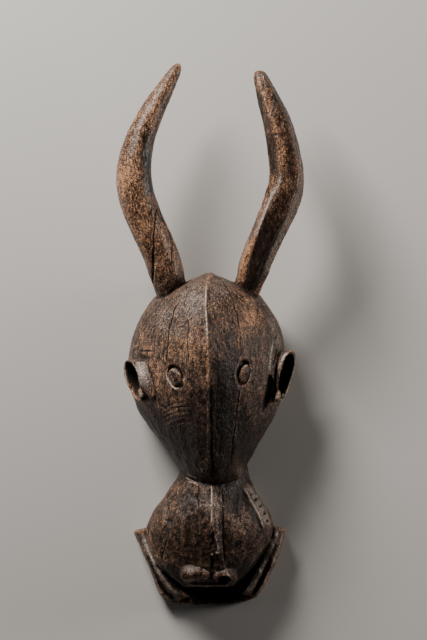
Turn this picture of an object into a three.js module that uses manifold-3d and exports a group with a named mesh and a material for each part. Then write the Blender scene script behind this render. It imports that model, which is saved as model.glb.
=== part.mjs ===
// A horned animal mask from the Cameroon Grassfields, carved from one block of wood, in millimetres.
// It lies on its open underside: +Z is up, towards the ridge of the forehead, +Y runs from the muzzle
// to the tips of the horns, and +X is to the right of the animal's face as it is looked at from above.
import * as THREE from "three";
import { LoftGeometry } from "three/addons/geometries/LoftGeometry.js";
import { mergeVertices } from "three/addons/utils/BufferGeometryUtils.js";
import Module from "manifold-3d";

const wasm = await Module();
wasm.setup();

// Driving dimensions.
const WALL = 17; // thickness of the hollowed head
const CROWN_WALL = 21; // the same, under the ridge of the forehead
const RIDGE = 0.36; // 0 gives round sections, 1 gives sections like a gable
const MUZZLE_RIDGE = 0.24;
// The stretch of the head that is dug out. Its ends are blunt and it goes on under the floor.
const HOLLOW = { top: 66, low: -150, ridge: 0.18, blunt: 4, narrowest: 0.02, under: 160 };
const JAW_PLATE = 13; // thickness of the lower jaw under the tongue
const MOUTH = { roof: 52, back: -292, front: -400 }; // the slot between the jaws
const EYE = { depth: 5.5, slope: 0.12, ballRise: 1.5 };
// An ear is a cup. Its rings, outside and inside: the depth under the rim, the scale, and inside also how
// much less than the outside each way.
const EAR = {
  pointed: 0.15,
  cup: [[34, 0.72], [17, 0.9], [7, 0.96], [0, 1]],
  dug: [[17, 0.275, 0], [12.8, 0.55, 0], [5.1, 0.85, 2], [-2, 1, 4]],
};
// A lip is a bar with rounded upper corners: how far across and how high, as shares, from the outside in.
const LIP = { leftFlare: 0.2, rightFlare: 0.05, top: [[0.05, 0.93], [0.3, 1], [0.75, 0.98], [1, 0.86]] };
const KNOB = { rise: 13, hole: 8, holeWidth: 0.6, holeSunk: 1 }; // a nostril, as a swelling with a hollow
// The facet planed off the right side of the muzzle: a point of its upper edge, the way that edge runs,
// the way it faces, its length and how much wood lies outside it at most.
const BEVEL = {
  at: [67, -249, 78],
  along: [0.46, -0.89, 0],
  facing: [0.82, 0.42, 0.39],
  length: 96,
  deep: 60,
};
// The crown is planed flat on both sides of its ridge: a point of each plane, the way that it runs over the
// head, the way it faces, and how far the planed stretch reaches to each side before it fades out.
const CROWN_PLANES = [
  { at: [-20, 62, 141], along: [0.95, 0.3, 0], facing: [-0.3, 0.78, 0.55], half: 62 },
  { at: [22, 62, 139], along: [0.95, -0.3, 0], facing: [0.34, 0.76, 0.55], half: 62 },
];
const FADE = { from: 0.84, to: 1.04 }; // where the planed stretch fades out, as shares of that reach
// The right horn has flat sides: how many, and how far they and the corners between them lie from its
// middle, as shares of the radius.
const FLATS = { count: 6, share: 0.905, corner: 1.03 };
// The groove that sets off the right ear from the face.
const EAR_GROOVE = { at: [81, -80], halfWidth: 4.5, halfLength: 26, deep: 11, turn: -0.2 };
const BLOCK = { width: 600, length: 1200, height: 400 }; // more than the mask takes of the tree

// How finely round forms are divided.
const HEAD_SIDES = 42;
const HEAD_STEPS = 33;
const MUZZLE_SIDES = 34;
const MUZZLE_STEPS = 19;
const HOLLOW_SIDES = 28;
const HOLLOW_STEPS = 16;
const HORN_SIDES = 18;
const HORN_STEPS = 24;
const EAR_SIDES = 22;
const BALL_SIDES = 16;
const BALL_RINGS = 10;
const LIP_STEPS = 10;
const ARC_STEPS = 8;
const CROWDING = 0.4; // draws the points of a section towards its ridge
const HALVINGS = 40; // enough to find a place along a curve to a thousandth of a millimetre
const TOUCHING = 1e-3; // points nearer than this are one

// Rows of the lofts: each is a section across the block.
// y, how far it reaches to the left and right, the ridge's place, then the heights of the ridge,
// of the widest line and of the lowest line, which lies under the floor where the block is cut off flat.
const HEAD = [
  [86, 1, 2, 0, 96, 95, 94],
  [83, 9, 9, -1, 108, 92, 68],
  [75, 28, 27, -3, 131, 82, 22],
  [60, 66, 62, -6, 150, 69, -25],
  [38, 87, 81, -7, 163, 61, -60],
  [8, 103, 98.5, -6, 171, 57, -80],
  [-30, 112, 104, -4, 172, 55, -90],
  [-68, 110, 103, -2, 167, 55, -90],
  [-105, 98, 93, -1, 158, 56, -90],
  [-142, 72, 72, 0, 148, 58, -80],
  [-174, 47, 54, 1, 134, 62, -60],
  [-193, 32, 44, 3, 119, 72, -20],
  [-203, 15, 29, 8, 107, 84, 40],
  [-205.5, 3, 13, 10, 101, 92, 72],
];
const MUZZLE = [
  [-150, 30, 41, 0, 62, 44, -50],
  [-178, 38, 51, 0, 80, 44, -60],
  [-200, 46, 55, 1, 98, 44, -60],
  [-222, 61, 66, 2, 105, 44, -60],
  [-248, 79, 83, 4, 110, 44, -60],
  [-272, 88, 87, 4, 108, 44, -60],
  [-296, 83, 77, 4, 103, 45, -60],
  [-318, 71, 63, 4, 95, 48, -60],
  [-336, 52, 46, 3, 84, 52, -20],
  [-346, 37, 34, 1, 72, 56, 40],
  [-348, 33, 31, 0, 66, 58, 50],
];

// Horns: x, y, z of the middle, the radius, and how far the flat sides are turned, in degrees. The left horn
// is round.
const LEFT_HORN = [
  [-45, 34, 66, 20],
  [-56, 72, 93, 22],
  [-61, 91, 101, 24],
  [-70, 116, 107, 24.3],
  [-88, 156, 116, 24.5],
  [-102, 195, 121, 25],
  [-104, 234, 122, 23.5],
  [-95, 273, 119, 20],
  [-78, 311, 114, 16],
  [-58, 346, 108, 11.4],
  [-46.5, 367, 104, 7.4],
  [-43.3, 374.3, 103, 3],
];
const RIGHT_HORN = [
  [42, 34, 66, 17, -20],
  [54, 72, 93, 19, -20],
  [59.5, 90, 100, 22, -18],
  [67, 111, 106, 22.3, -14],
  [84, 149, 115, 23, -8],
  [100, 186, 121, 24.8, 6],
  [106, 218, 123, 24, 12],
  [102, 254, 121, 22, 10],
  [94, 290, 117, 19.5, 8],
  [82, 324, 112, 15.5, 6],
  [71.5, 352, 107, 10.8, 4],
  [68, 361, 105, 7.6, 4],
  [67.3, 364, 104, 4, 4],
];

// Ears: the middle of the mouth of the cup, the way the cup opens, the way its long side runs,
// half its length and half its width.
const LEFT_EAR = {
  at: [-106, -63, 93],
  opens: [-0.8, 0, 0.6],
  along: [-0.3, 0.95, 0],
  length: 30,
  width: 18,
};
const RIGHT_EAR = {
  at: [106, -55, 89],
  opens: [0.75, 0, 0.66],
  along: [0.24, 0.97, 0],
  length: 34,
  width: 17,
};
// The swelling between the left ear and the face: its place, half its width, length and height, how deep it
// is set, and how far it is turned.
const EAR_ROOT = { at: [-88.5, -58], radii: [13, 31, 9], sunk: 1.5, turn: 0.38 };

// Eyes: the place on the face, as seen from above, half the width and half the length of the socket and of
// the ball in it, and how far the ball lies from the middle of the socket.
const LEFT_EYE = { at: [-47.5, -58], socket: [16, 17], ball: [12, 12.6], shift: [0, 0] };
const RIGHT_EYE = { at: [47, -54], socket: [16, 18.5], ball: [9, 13], shift: [2.5, 1] };

// Nostrils: the middle, half the width, half the length, and how far each is turned.
const LEFT_NOSTRIL = { at: [-24, -328, 80], halfWidth: 17.5, halfLength: 13, turn: 0.12 };
const RIGHT_NOSTRIL = { at: [20, -331, 78], halfWidth: 15.5, halfLength: 12.5, turn: -0.1 };

// Lips, along the edges of the lower jaw: x, y of the outer edge and of the inner edge, and the height.
const LEFT_LIP = [
  [-103, -273, -84, -268, 43],
  [-92, -300, -76, -298, 42],
  [-79, -330, -63, -326, 39],
  [-66, -356, -45, -349, 33],
  [-50, -369, -26, -363, 27],
];
const RIGHT_LIP = [
  [103, -270, 87, -265, 44],
  [98, -292, 78, -290, 42],
  [87, -322, 67, -318, 39],
  [73, -350, 55, -344, 33],
  [63, -364, 44, -359, 27],
];

// The row at t on a smooth curve through the rows, where t counts rows (a Catmull-Rom spline).
function rowAt(rows, t) {
  const i = Math.min(Math.floor(t), rows.length - 2);
  const f = t - i;
  const at = (j) => rows[Math.min(Math.max(j, 0), rows.length - 1)];
  return rows[0].map((_, k) => {
    const [a, b, c, d] = [at(i - 1)[k], at(i)[k], at(i + 1)[k], at(i + 2)[k]];
    const slope = (c - a) / 2;
    const next = (d - b) / 2;
    return (
      b + slope * f + (3 * (c - b) - 2 * slope - next) * f * f + (2 * (b - c) + slope + next) * f * f * f
    );
  });
}

// Evenly spaced rows along that curve.
function rowsAlong(rows, steps) {
  return Array.from({ length: steps + 1 }, (_, i) => rowAt(rows, (i / steps) * (rows.length - 1)));
}

// Where along the rows the curve passes a given y.
function stationOf(rows, y) {
  let [low, high] = [0, rows.length - 1];
  for (let i = 0; i < HALVINGS; i++) {
    const middle = (low + high) / 2;
    if (rowAt(rows, middle)[0] > y) low = middle;
    else high = middle;
  }
  return low;
}

// A closed mesh as a solid, turned the right way round if it is inside out.
function solid(geometry) {
  const bare = geometry.index ? geometry.toNonIndexed() : geometry.clone();
  for (const name of Object.keys(bare.attributes)) {
    if (name !== "position") bare.deleteAttribute(name);
  }
  const merged = mergeVertices(bare, TOUCHING);
  const faces = new Uint32Array(merged.index.array);
  const points = merged.attributes.position.array;
  let volume = 0;
  const [a, b, c] = [new THREE.Vector3(), new THREE.Vector3(), new THREE.Vector3()];
  for (let i = 0; i < faces.length; i += 3) {
    a.fromArray(points, faces[i] * 3);
    b.fromArray(points, faces[i + 1] * 3);
    c.fromArray(points, faces[i + 2] * 3);
    volume += a.dot(b.cross(c));
  }
  if (volume < 0) {
    for (let i = 0; i < faces.length; i += 3) [faces[i], faces[i + 1]] = [faces[i + 1], faces[i]];
  }
  return new wasm.Manifold(new wasm.Mesh({ numProp: 3, vertProperties: points, triVerts: faces }));
}

// Sections joined in a row. They are turned round where they don't go anticlockwise, seen from the last.
function loft(sections) {
  const [first, second] = sections;
  const facing = new THREE.Vector3();
  const onwards = new THREE.Vector3();
  first.forEach((p, i) => {
    facing.add(new THREE.Vector3().crossVectors(p, first[(i + 1) % first.length]));
    onwards.add(second[i]).sub(p);
  });
  const backwards = facing.dot(onwards) < 0;
  const turned = backwards ? sections.map((section) => [...section].reverse()) : sections;
  return solid(new LoftGeometry(turned, { capStart: true, capEnd: true }));
}

// One section across the block. Above its widest line it is between a half ellipse and a gable, so that
// the two sides meet in a crisp ridge. Below, it is a half ellipse. The points lie closer near the ridge.
function domeSection([y, left, right, ridge, top, mid, low], gable, sides) {
  return Array.from({ length: sides }, (_, i) => {
    const even = (i / sides) * 2 * Math.PI;
    const turn = even - CROWDING * Math.sin(even);
    const [across, up] = [Math.sin(turn), Math.cos(turn)];
    const x = ridge + across * (across < 0 ? left + ridge : right - ridge);
    const rise = (1 - gable) * up + gable * (1 - Math.abs(across));
    const z = up >= 0 ? mid + (top - mid) * rise : mid + (mid - low) * up;
    return new THREE.Vector3(x, y, z);
  });
}

function domeSections(rows, gable, sides, steps) {
  return rowsAlong(rows, steps).map((row) => domeSection(row, gable, sides));
}

// Points outside a plane are pressed back onto it, less and less towards the ends of the planed stretch.
function planeOff(sections, { at, along, facing, half }) {
  const way = new THREE.Vector3(...along).normalize();
  const out = new THREE.Vector3(...facing).projectOnPlane(way).normalize();
  for (const point of sections.flat()) {
    const off = point.clone().sub(new THREE.Vector3(...at));
    const outside = Math.max(off.dot(out), 0);
    const share = 1 - THREE.MathUtils.smoothstep(Math.abs(off.dot(way)), FADE.from * half, FADE.to * half);
    point.addScaledVector(out, -outside * share);
  }
}

function headDome() {
  const sections = domeSections(HEAD, RIDGE, HEAD_SIDES, HEAD_STEPS);
  CROWN_PLANES.forEach((plane) => planeOff(sections, plane));
  return loft(sections);
}

// The hollow for the wearer's head follows the outside, one wall's thickness in, and closes at both ends
// like a barrel. It reaches below the floor, so it is open underneath.
function hollow() {
  const half = (HOLLOW.top - HOLLOW.low) / 2;
  const rows = Array.from({ length: HOLLOW_STEPS + 1 }, (_, i) => {
    const along = -Math.cos((i / HOLLOW_STEPS) * Math.PI);
    const y = HOLLOW.low + half * (1 + along);
    const [, left, right, ridge, top, mid] = rowAt(HEAD, stationOf(HEAD, y));
    const share = Math.max(Math.sqrt(1 - Math.abs(along) ** HOLLOW.blunt), HOLLOW.narrowest);
    const roof = mid + (top - CROWN_WALL - mid) * share;
    const floor = mid - HOLLOW.under * share;
    return [y, (left - WALL) * share, (right - WALL) * share, ridge * share, roof, mid, floor];
  });
  return loft(rows.map((row) => domeSection(row, HOLLOW.ridge, HOLLOW_SIDES)));
}

// The outline of a round horn: how far round it each point lies, and how far from the middle.
function roundOutline() {
  return Array.from({ length: HORN_SIDES }, (_, i) => [(i / HORN_SIDES) * 2 * Math.PI, 1]);
}

// The outline of a flat-sided horn. A circle cuts off the corners between its sides.
function flatOutline(twist) {
  const toCorner = Math.acos(FLATS.share / FLATS.corner);
  return Array.from({ length: FLATS.count }, (_, i) => {
    const face = THREE.MathUtils.degToRad(twist) + (i / FLATS.count) * 2 * Math.PI;
    return [-toCorner, 0, toCorner].map((off) => [face + off, FLATS.share / Math.cos(off)]);
  }).flat();
}

// A horn is an outline carried along its curve.
function horn(rows, outline) {
  const stations = rowsAlong(rows, HORN_STEPS);
  const up = new THREE.Vector3(0, 0, 1);
  return loft(
    stations.map(([x, y, z, radius, twist], i) => {
      const before = new THREE.Vector3(...stations[Math.max(i - 1, 0)]);
      const after = new THREE.Vector3(...stations[Math.min(i + 1, HORN_STEPS)]);
      const way = after.sub(before).normalize();
      const side = new THREE.Vector3().crossVectors(way, up).normalize();
      const front = new THREE.Vector3().crossVectors(side, way);
      return outline(twist).map(([turn, reach]) =>
        new THREE.Vector3(x, y, z)
          .addScaledVector(front, radius * reach * Math.cos(turn))
          .addScaledVector(side, radius * reach * Math.sin(turn)),
      );
    }),
  );
}

// An oval ring of the ear at a depth under its rim, narrower towards its lower end.
function earRing({ at, opens, along, length, width }, depth, scale, inset) {
  const long = new THREE.Vector3(...along).normalize();
  const out = new THREE.Vector3(...opens).projectOnPlane(long).normalize();
  const across = new THREE.Vector3().crossVectors(out, long);
  return Array.from({ length: EAR_SIDES }, (_, i) => {
    const turn = (i / EAR_SIDES) * 2 * Math.PI;
    const narrow = 1 - EAR.pointed * (1 - Math.cos(turn));
    return new THREE.Vector3(...at)
      .addScaledVector(out, -depth)
      .addScaledVector(long, (length * scale - inset) * Math.cos(turn))
      .addScaledVector(across, (width * scale - inset) * narrow * Math.sin(turn));
  });
}

function earCup(ear) {
  return loft(EAR.cup.map(([depth, scale]) => earRing(ear, depth, scale, 0)));
}

function earHollow(ear) {
  return loft(EAR.dug.map(([depth, scale, inset]) => earRing(ear, depth, scale, inset)));
}

// The height of the outside of the head over a place, with the way its surface faces there.
function onFace([x, y]) {
  const height = (px, py) => {
    const [, left, right, ridge, top, mid] = rowAt(HEAD, stationOf(HEAD, py));
    const across = Math.min(Math.abs(px - ridge) / (px < ridge ? left + ridge : right - ridge), 1);
    return mid + (top - mid) * ((1 - RIDGE) * Math.sqrt(1 - across * across) + RIDGE * (1 - across));
  };
  const z = height(x, y);
  const facing = new THREE.Vector3(z - height(x + 1, y), z - height(x, y + 1), 1).normalize();
  return { point: new THREE.Vector3(x, y, z), facing };
}

function ellipsoid(width, length, height) {
  return new THREE.SphereGeometry(1, BALL_SIDES, BALL_RINGS).scale(width, length, height);
}

// Places a form at a point of the face, turned so that its y stands out of the surface.
function setOnFace(geometry, place) {
  const { point, facing } = onFace(place);
  geometry.applyQuaternion(new THREE.Quaternion().setFromUnitVectors(new THREE.Vector3(0, 1, 0), facing));
  geometry.translate(point.x, point.y, point.z);
  return solid(geometry);
}

// The socket of an eye is a shallow pan with steep sides.
function eyeSocket({ at, socket }) {
  const profile = [
    new THREE.Vector2(0, -EYE.depth),
    new THREE.Vector2(1 - EYE.slope, -EYE.depth),
    new THREE.Vector2(1, 0),
    new THREE.Vector2(1 + EYE.slope, 2 * EYE.depth),
    new THREE.Vector2(0, 2 * EYE.depth),
  ];
  const pan = new THREE.LatheGeometry(profile, EAR_SIDES);
  pan.scale(socket[0], 1, socket[1]);
  return setOnFace(pan, at);
}

// The eyeball stands in the socket and leaves a groove around it.
function eyeBall({ at, ball, shift }) {
  const eyeball = ellipsoid(ball[0], EYE.depth + EYE.ballRise, ball[1]);
  eyeball.translate(shift[0], -EYE.depth, -shift[1]);
  return setOnFace(eyeball, at);
}

// The swelling between the left ear and the face.
function earRoot() {
  const { at, radii, sunk, turn } = EAR_ROOT;
  const [width, length, height] = radii;
  const swelling = ellipsoid(width, height, length);
  swelling.rotateY(turn);
  swelling.translate(0, -sunk, 0);
  return setOnFace(swelling, at);
}

// The groove beside the right ear is the hollow of a long ellipsoid.
function earGroove() {
  const { at, halfWidth, halfLength, deep, turn } = EAR_GROOVE;
  const gouge = ellipsoid(halfWidth, halfLength, deep);
  gouge.rotateZ(turn);
  gouge.translate(...at, onFace(at).point.z);
  return solid(gouge);
}

// A lip stands on the edge of the lower jaw. Its foot is wider than its top by the flare.
function lip(rows, flare) {
  const foot = [[-flare, 0], [-flare * 0.6, 0.6]];
  const profile = [...foot, ...LIP.top, [1, 0]];
  return loft(
    rowsAlong(rows, LIP_STEPS).map(([outX, outY, inX, inY, height]) => {
      const outer = new THREE.Vector3(outX, outY, 0);
      const inner = new THREE.Vector3(inX, inY, 0);
      return profile.map(([share, rise]) =>
        new THREE.Vector3().lerpVectors(outer, inner, share).setZ(height * rise),
      );
    }),
  );
}

// The outline of the lower jaw, from above.
function jawOutline() {
  const shape = new THREE.Shape();
  shape.moveTo(-98, -285);
  shape.lineTo(-66, -362);
  shape.quadraticCurveTo(-63, -369, -52, -371.5);
  shape.quadraticCurveTo(-8, -378, 48, -370);
  shape.quadraticCurveTo(60, -368, 64, -361);
  shape.lineTo(98, -285);
  shape.lineTo(78, -262);
  shape.lineTo(-78, -262);
  return shape;
}

// What is planed off the right side of the muzzle.
function muzzleBevel() {
  const along = new THREE.Vector3(...BEVEL.along).normalize();
  const facing = new THREE.Vector3(...BEVEL.facing).projectOnPlane(along).normalize();
  const block = new THREE.BoxGeometry(BEVEL.length, BEVEL.deep, BEVEL.deep * 2);
  block.translate(0, BEVEL.deep / 2, 0);
  const frame = new THREE.Matrix4().makeBasis(along, facing, new THREE.Vector3().crossVectors(along, facing));
  block.applyMatrix4(frame.setPosition(...BEVEL.at));
  return solid(block);
}

// The slot between the jaws, open at the front.
function mouthSlot() {
  const shape = new THREE.Shape();
  shape.moveTo(-74, MOUTH.back - 6);
  shape.lineTo(-61, -325);
  shape.lineTo(-42, -348);
  shape.lineTo(-24, -362);
  shape.lineTo(-14, MOUTH.front);
  shape.lineTo(34, MOUTH.front);
  shape.lineTo(43, -358);
  shape.lineTo(53, -342);
  shape.lineTo(64, -317);
  shape.lineTo(73, MOUTH.back - 4);
  shape.quadraticCurveTo(0, MOUTH.back + 12, -74, MOUTH.back - 6);
  return plate(shape, JAW_PLATE, MOUTH.roof);
}

// A flat piece between two heights, with the outline of a shape.
function plate(shape, low, high) {
  const how = { depth: high - low, bevelEnabled: false, curveSegments: ARC_STEPS };
  const slab = new THREE.ExtrudeGeometry(shape, how);
  slab.translate(0, 0, low);
  return solid(slab);
}

// A nostril is a swelling on the end of the nose.
function nostrilKnob({ at, halfWidth, halfLength, turn }) {
  const knob = ellipsoid(halfWidth, halfLength, KNOB.rise);
  knob.rotateZ(turn);
  knob.translate(...at);
  return solid(knob);
}

// The hollow under it opens towards the mouth.
function nostrilHole({ at, halfWidth, halfLength }) {
  const hole = ellipsoid(halfWidth * KNOB.holeWidth, KNOB.hole, KNOB.hole);
  hole.translate(at[0], at[1] - halfLength, at[2] - KNOB.holeSunk);
  return solid(hole);
}

// Everything above the plane that the mask lies on.
function aboveFloor() {
  const block = new THREE.BoxGeometry(BLOCK.width, BLOCK.length, BLOCK.height);
  block.translate(0, 0, BLOCK.height / 2);
  return solid(block);
}

// Everything is carved from the one block, so the forms are joined and cut into one solid.
function maskSolid() {
  const forms = [
    plate(jawOutline(), 0, JAW_PLATE),
    lip(LEFT_LIP, LIP.leftFlare),
    lip(RIGHT_LIP, LIP.rightFlare),
    horn(LEFT_HORN, roundOutline),
    horn(RIGHT_HORN, flatOutline),
    nostrilKnob(LEFT_NOSTRIL),
    nostrilKnob(RIGHT_NOSTRIL),
    earCup(LEFT_EAR),
    earCup(RIGHT_EAR),
    earRoot(),
  ];
  const cuts = [
    nostrilHole(LEFT_NOSTRIL),
    nostrilHole(RIGHT_NOSTRIL),
    earHollow(LEFT_EAR),
    earHollow(RIGHT_EAR),
    earGroove(),
    hollow(),
  ];
  const muzzle = loft(domeSections(MUZZLE, MUZZLE_RIDGE, MUZZLE_SIDES, MUZZLE_STEPS)).subtract(muzzleBevel());
  const head = [LEFT_EYE, RIGHT_EYE].reduce(
    (made, eye) => made.subtract(eyeSocket(eye)).add(eyeBall(eye)),
    headDome(),
  );
  const block = forms.reduce((made, form) => made.add(form), head.add(muzzle).subtract(mouthSlot()));
  return cuts.reduce((made, cut) => made.subtract(cut), block).intersect(aboveFloor());
}

function geometryOf(made) {
  const mesh = made.getMesh();
  const geometry = new THREE.BufferGeometry();
  const points = new Float32Array(mesh.numVert * 3);
  for (let i = 0; i < mesh.numVert; i++) {
    points.set(mesh.vertProperties.subarray(i * mesh.numProp, i * mesh.numProp + 3), i * 3);
  }
  geometry.setAttribute("position", new THREE.BufferAttribute(points, 3));
  geometry.setIndex(new THREE.BufferAttribute(mesh.triVerts, 1));
  geometry.computeVertexNormals();
  return geometry;
}

const darkWood = new THREE.MeshStandardMaterial({ color: 0x3a2418, roughness: 0.55, metalness: 0 });
const mask = new THREE.Mesh(geometryOf(maskSolid()), darkWood);
mask.name = "mask";

const carving = new THREE.Group();
carving.add(mask);
export default carving;
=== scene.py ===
# %% [markdown]
# # A horned animal mask
# The mask was cut from one block of hard wood with adzes and knives: a hollow head that sits on the wearer,
# a short muzzle with open jaws, two cupped ears and two long curved horns. It has been handled and smoked
# for a long time, so the wood is dark and glossy, and the crests are rubbed back to brown.
# The imported model is loaded first, and its parts are kept in the scene. The finished mask has to fill the
# same space.

# %% The frame
import itertools
import math

import bmesh
import bpy
import numpy as np
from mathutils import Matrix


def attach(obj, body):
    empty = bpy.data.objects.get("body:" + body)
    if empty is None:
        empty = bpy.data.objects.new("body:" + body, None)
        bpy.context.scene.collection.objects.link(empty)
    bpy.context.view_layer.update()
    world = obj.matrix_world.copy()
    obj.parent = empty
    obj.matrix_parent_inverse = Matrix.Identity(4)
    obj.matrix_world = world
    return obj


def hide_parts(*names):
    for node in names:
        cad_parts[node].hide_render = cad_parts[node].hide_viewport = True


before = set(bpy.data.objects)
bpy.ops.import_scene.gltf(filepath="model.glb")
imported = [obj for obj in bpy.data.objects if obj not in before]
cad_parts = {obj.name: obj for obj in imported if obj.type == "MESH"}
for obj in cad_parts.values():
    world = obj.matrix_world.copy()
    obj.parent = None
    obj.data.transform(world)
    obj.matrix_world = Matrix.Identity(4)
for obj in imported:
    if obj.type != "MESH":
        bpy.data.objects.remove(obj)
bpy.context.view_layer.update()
MM = 0.001  # Blender works in metres, the carver's measures below are in millimetres

# %% [markdown]
# ## The view
# The photograph looks straight at the face of the upright mask with a long lens. Here the mask lies on its
# open underside, so the camera hangs straight above it. A long lens far away keeps the horns and the muzzle
# at the same scale, and the view is as high as the photograph is beside the mask.

# %% The camera
VIEW_HEIGHT = 884.5  # mm of the object's mid height that the long side of the picture shows
VIEW_MIDDLE = (5.2, 20.8, 90.0)  # the place that the camera looks at
CAMERA_WAY = 16000.0  # its height over that place
SENSOR = 36.0
FARTHEST_SEEN = 40  # metres

camera_data = bpy.data.cameras.new("camera")
camera_data.sensor_width = SENSOR
camera_data.lens = SENSOR * CAMERA_WAY / VIEW_HEIGHT
camera_data.clip_end = FARTHEST_SEEN
camera = bpy.data.objects.new("camera", camera_data)
camera.location = (np.array(VIEW_MIDDLE) + (0, 0, CAMERA_WAY)) * MM
bpy.context.scene.collection.objects.link(camera)
bpy.context.scene.camera = camera
print("lens, mm:", round(camera_data.lens, 1))

# %% [markdown]
# ## Curves through measured sections
# A carver works from a few sections: how wide and how high the block is at the brow, at the eyes, at the
# chin. The same few sections are listed here as rows of numbers, and a smooth curve is led through them.
# A Catmull-Rom curve passes through every row, so each number is a true size of the mask.

# %% A smooth curve through rows
def spline(rows, stations):
    """Rows at the given stations, where station 2.5 is halfway from row 2 to row 3.

    Between two rows it is a cubic. Its slope at each row is half the step from the row before it to the row
    after it.
    """
    rows = np.asarray(rows, float)
    stations = np.asarray(stations, float)
    first = np.clip(np.floor(stations).astype(int), 0, len(rows) - 2)
    f = (stations - first)[..., None]
    a, b, c, d = (rows[np.clip(first + k, 0, len(rows) - 1)] for k in (-1, 0, 1, 2))
    slope, after = (c - a) / 2, (d - b) / 2
    return b + slope * f + (3 * (c - b) - 2 * slope - after) * f**2 + (2 * (b - c) + slope + after) * f**3


def even_rows(rows, count):
    """The given number of rows at even steps along the curve."""
    return spline(rows, np.linspace(0, len(rows) - 1, count))


print("halfway between 0 and 10 in a rising row:", spline([[0], [0], [10], [10]], 1.5))

# %% [markdown]
# ## Closed forms
# Every form of the mask, a horn as well as an eyeball, is a row of rings with its two ends closed. One
# helper turns an array of rings into a mesh. It reads the sign of the enclosed volume to see whether the
# faces point outwards, because the joining and cutting below only works on forms that know their outside.

# %% Rings to a mesh
def closed_mesh(name, rings):
    """A closed object from rings, an array of n rings with m points each, in mm.

    Four-sided faces join each ring to the next, and a fan of triangles runs to the middle of each end ring.
    """
    rings = np.asarray(rings, float) * MM
    n, m, _ = rings.shape
    points = np.vstack([rings.reshape(-1, 3), rings[0].mean(0), rings[-1].mean(0)])
    ring, side = np.meshgrid(np.arange(n - 1) * m, np.arange(m), indexing="ij")
    after = (side + 1) % m
    quads = np.stack([ring + side, ring + after, ring + m + after, ring + m + side], -1).reshape(-1, 4)
    side, after = side[0], after[0]
    start = np.stack([np.full(m, n * m), after, side], -1)
    end = np.stack([np.full(m, n * m + 1), side + (n - 1) * m, after + (n - 1) * m], -1)
    triangles = np.vstack([quads[:, :3], quads[:, [0, 2, 3]], start, end])
    a, b, c = (points[triangles[:, k]] for k in range(3))
    faces = quads.tolist() + start.tolist() + end.tolist()
    if np.einsum("ij,ij->", a, np.cross(b, c)) < 0:
        faces = [face[::-1] for face in faces]
    mesh = bpy.data.meshes.new(name)
    mesh.from_pydata(points.tolist(), [], faces)
    made = bpy.data.objects.new(name, mesh)
    bpy.context.scene.collection.objects.link(made)
    return made


TURN = 2 * np.pi
print("a full turn, radians:", round(TURN, 3))

# %% [markdown]
# ## The head
# The head is a boat-shaped dome with a crisp ridge down the middle, as if two cheeks met at a keel. Each
# section across it lies between a half ellipse and a gable: the ellipse makes the round cheeks, the gable
# makes the keel. The points crowd towards the ridge, where the form turns fastest.

# %% The head's dome
CROWDING = 0.4  # share by which the points of a ring lie closer together at the ridge

# y, reach to the left and right, place of the ridge, and the heights of the ridge, of the widest line and
# of the lowest line
HEAD = [
    [86, 1, 2, 0, 96, 95, 94],
    [83, 9, 9, -1, 108, 92, 68],
    [75, 28, 27, -3, 131, 82, 22],
    [60, 66, 62, -6, 150, 69, -25],
    [38, 87, 81, -7, 163, 61, -60],
    [8, 103, 98.5, -6, 171, 57, -80],
    [-30, 112, 104, -4, 172, 55, -90],
    [-68, 110, 103, -2, 167, 55, -90],
    [-105, 98, 93, -1, 158, 56, -90],
    [-142, 72, 72, 0, 148, 58, -80],
    [-174, 47, 54, 1, 134, 62, -60],
    [-193, 32, 44, 3, 119, 72, -20],
    [-203, 15, 29, 8, 107, 84, 40],
    [-205.5, 3, 13, 10, 101, 92, 72],
]
HEAD_GABLE = 0.36
HEAD_GRID = (170, 260)  # rings, and points in each


def dome(rows, gable, count, sides):
    """Rings across a dome.

    With t the turn from the ridge, x is the ridge's place plus sin t times the reach on that side. Above the
    widest line z rises by the mean of cos t, weighted 1 - gable, and of 1 - |sin t|, weighted gable. Below it
    z falls with cos t alone.
    """
    y, left, right, ridge, top, mid, low = np.moveaxis(even_rows(rows, count)[:, None, :], -1, 0)
    even = np.linspace(0, TURN, sides, endpoint=False)
    turn = even - CROWDING * np.sin(even)
    across, up = np.sin(turn), np.cos(turn)
    x = ridge + across * np.where(across < 0, left + ridge, right - ridge)
    rise = (1 - gable) * up + gable * (1 - np.abs(across))
    z = np.where(up >= 0, mid + (top - mid) * rise, mid + (mid - low) * up)
    return np.stack(np.broadcast_arrays(x, y, z), -1)


print("head, mm:", np.ptp(dome(HEAD, HEAD_GABLE, *HEAD_GRID), axis=(0, 1)).round())

# %% [markdown]
# ## The muzzle
# Under the chin the block swells again into a short, broad muzzle. It is the same kind of dome with a
# weaker ridge. Its right side was planed flat where the wood was bad, and so was the crown of the head on
# both sides of its ridge. Points beyond such a plane are pressed back onto it, and the pressing fades out at
# the ends of the planed stretch.

# %% The muzzle's dome
MUZZLE = [
    [-150, 30, 41, 0, 62, 44, -50],
    [-178, 38, 51, 0, 80, 44, -60],
    [-200, 46, 55, 1, 98, 44, -60],
    [-222, 61, 66, 2, 105, 44, -60],
    [-248, 79, 83, 4, 110, 44, -60],
    [-272, 88, 87, 4, 108, 44, -60],
    [-296, 83, 77, 4, 103, 45, -60],
    [-318, 71, 63, 4, 95, 48, -60],
    [-336, 52, 46, 3, 84, 52, -20],
    [-346, 37, 34, 1, 72, 56, 40],
    [-348, 33, 31, 0, 66, 58, 50],
]
MUZZLE_GABLE = 0.24
MUZZLE_GRID = (130, 220)
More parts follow.
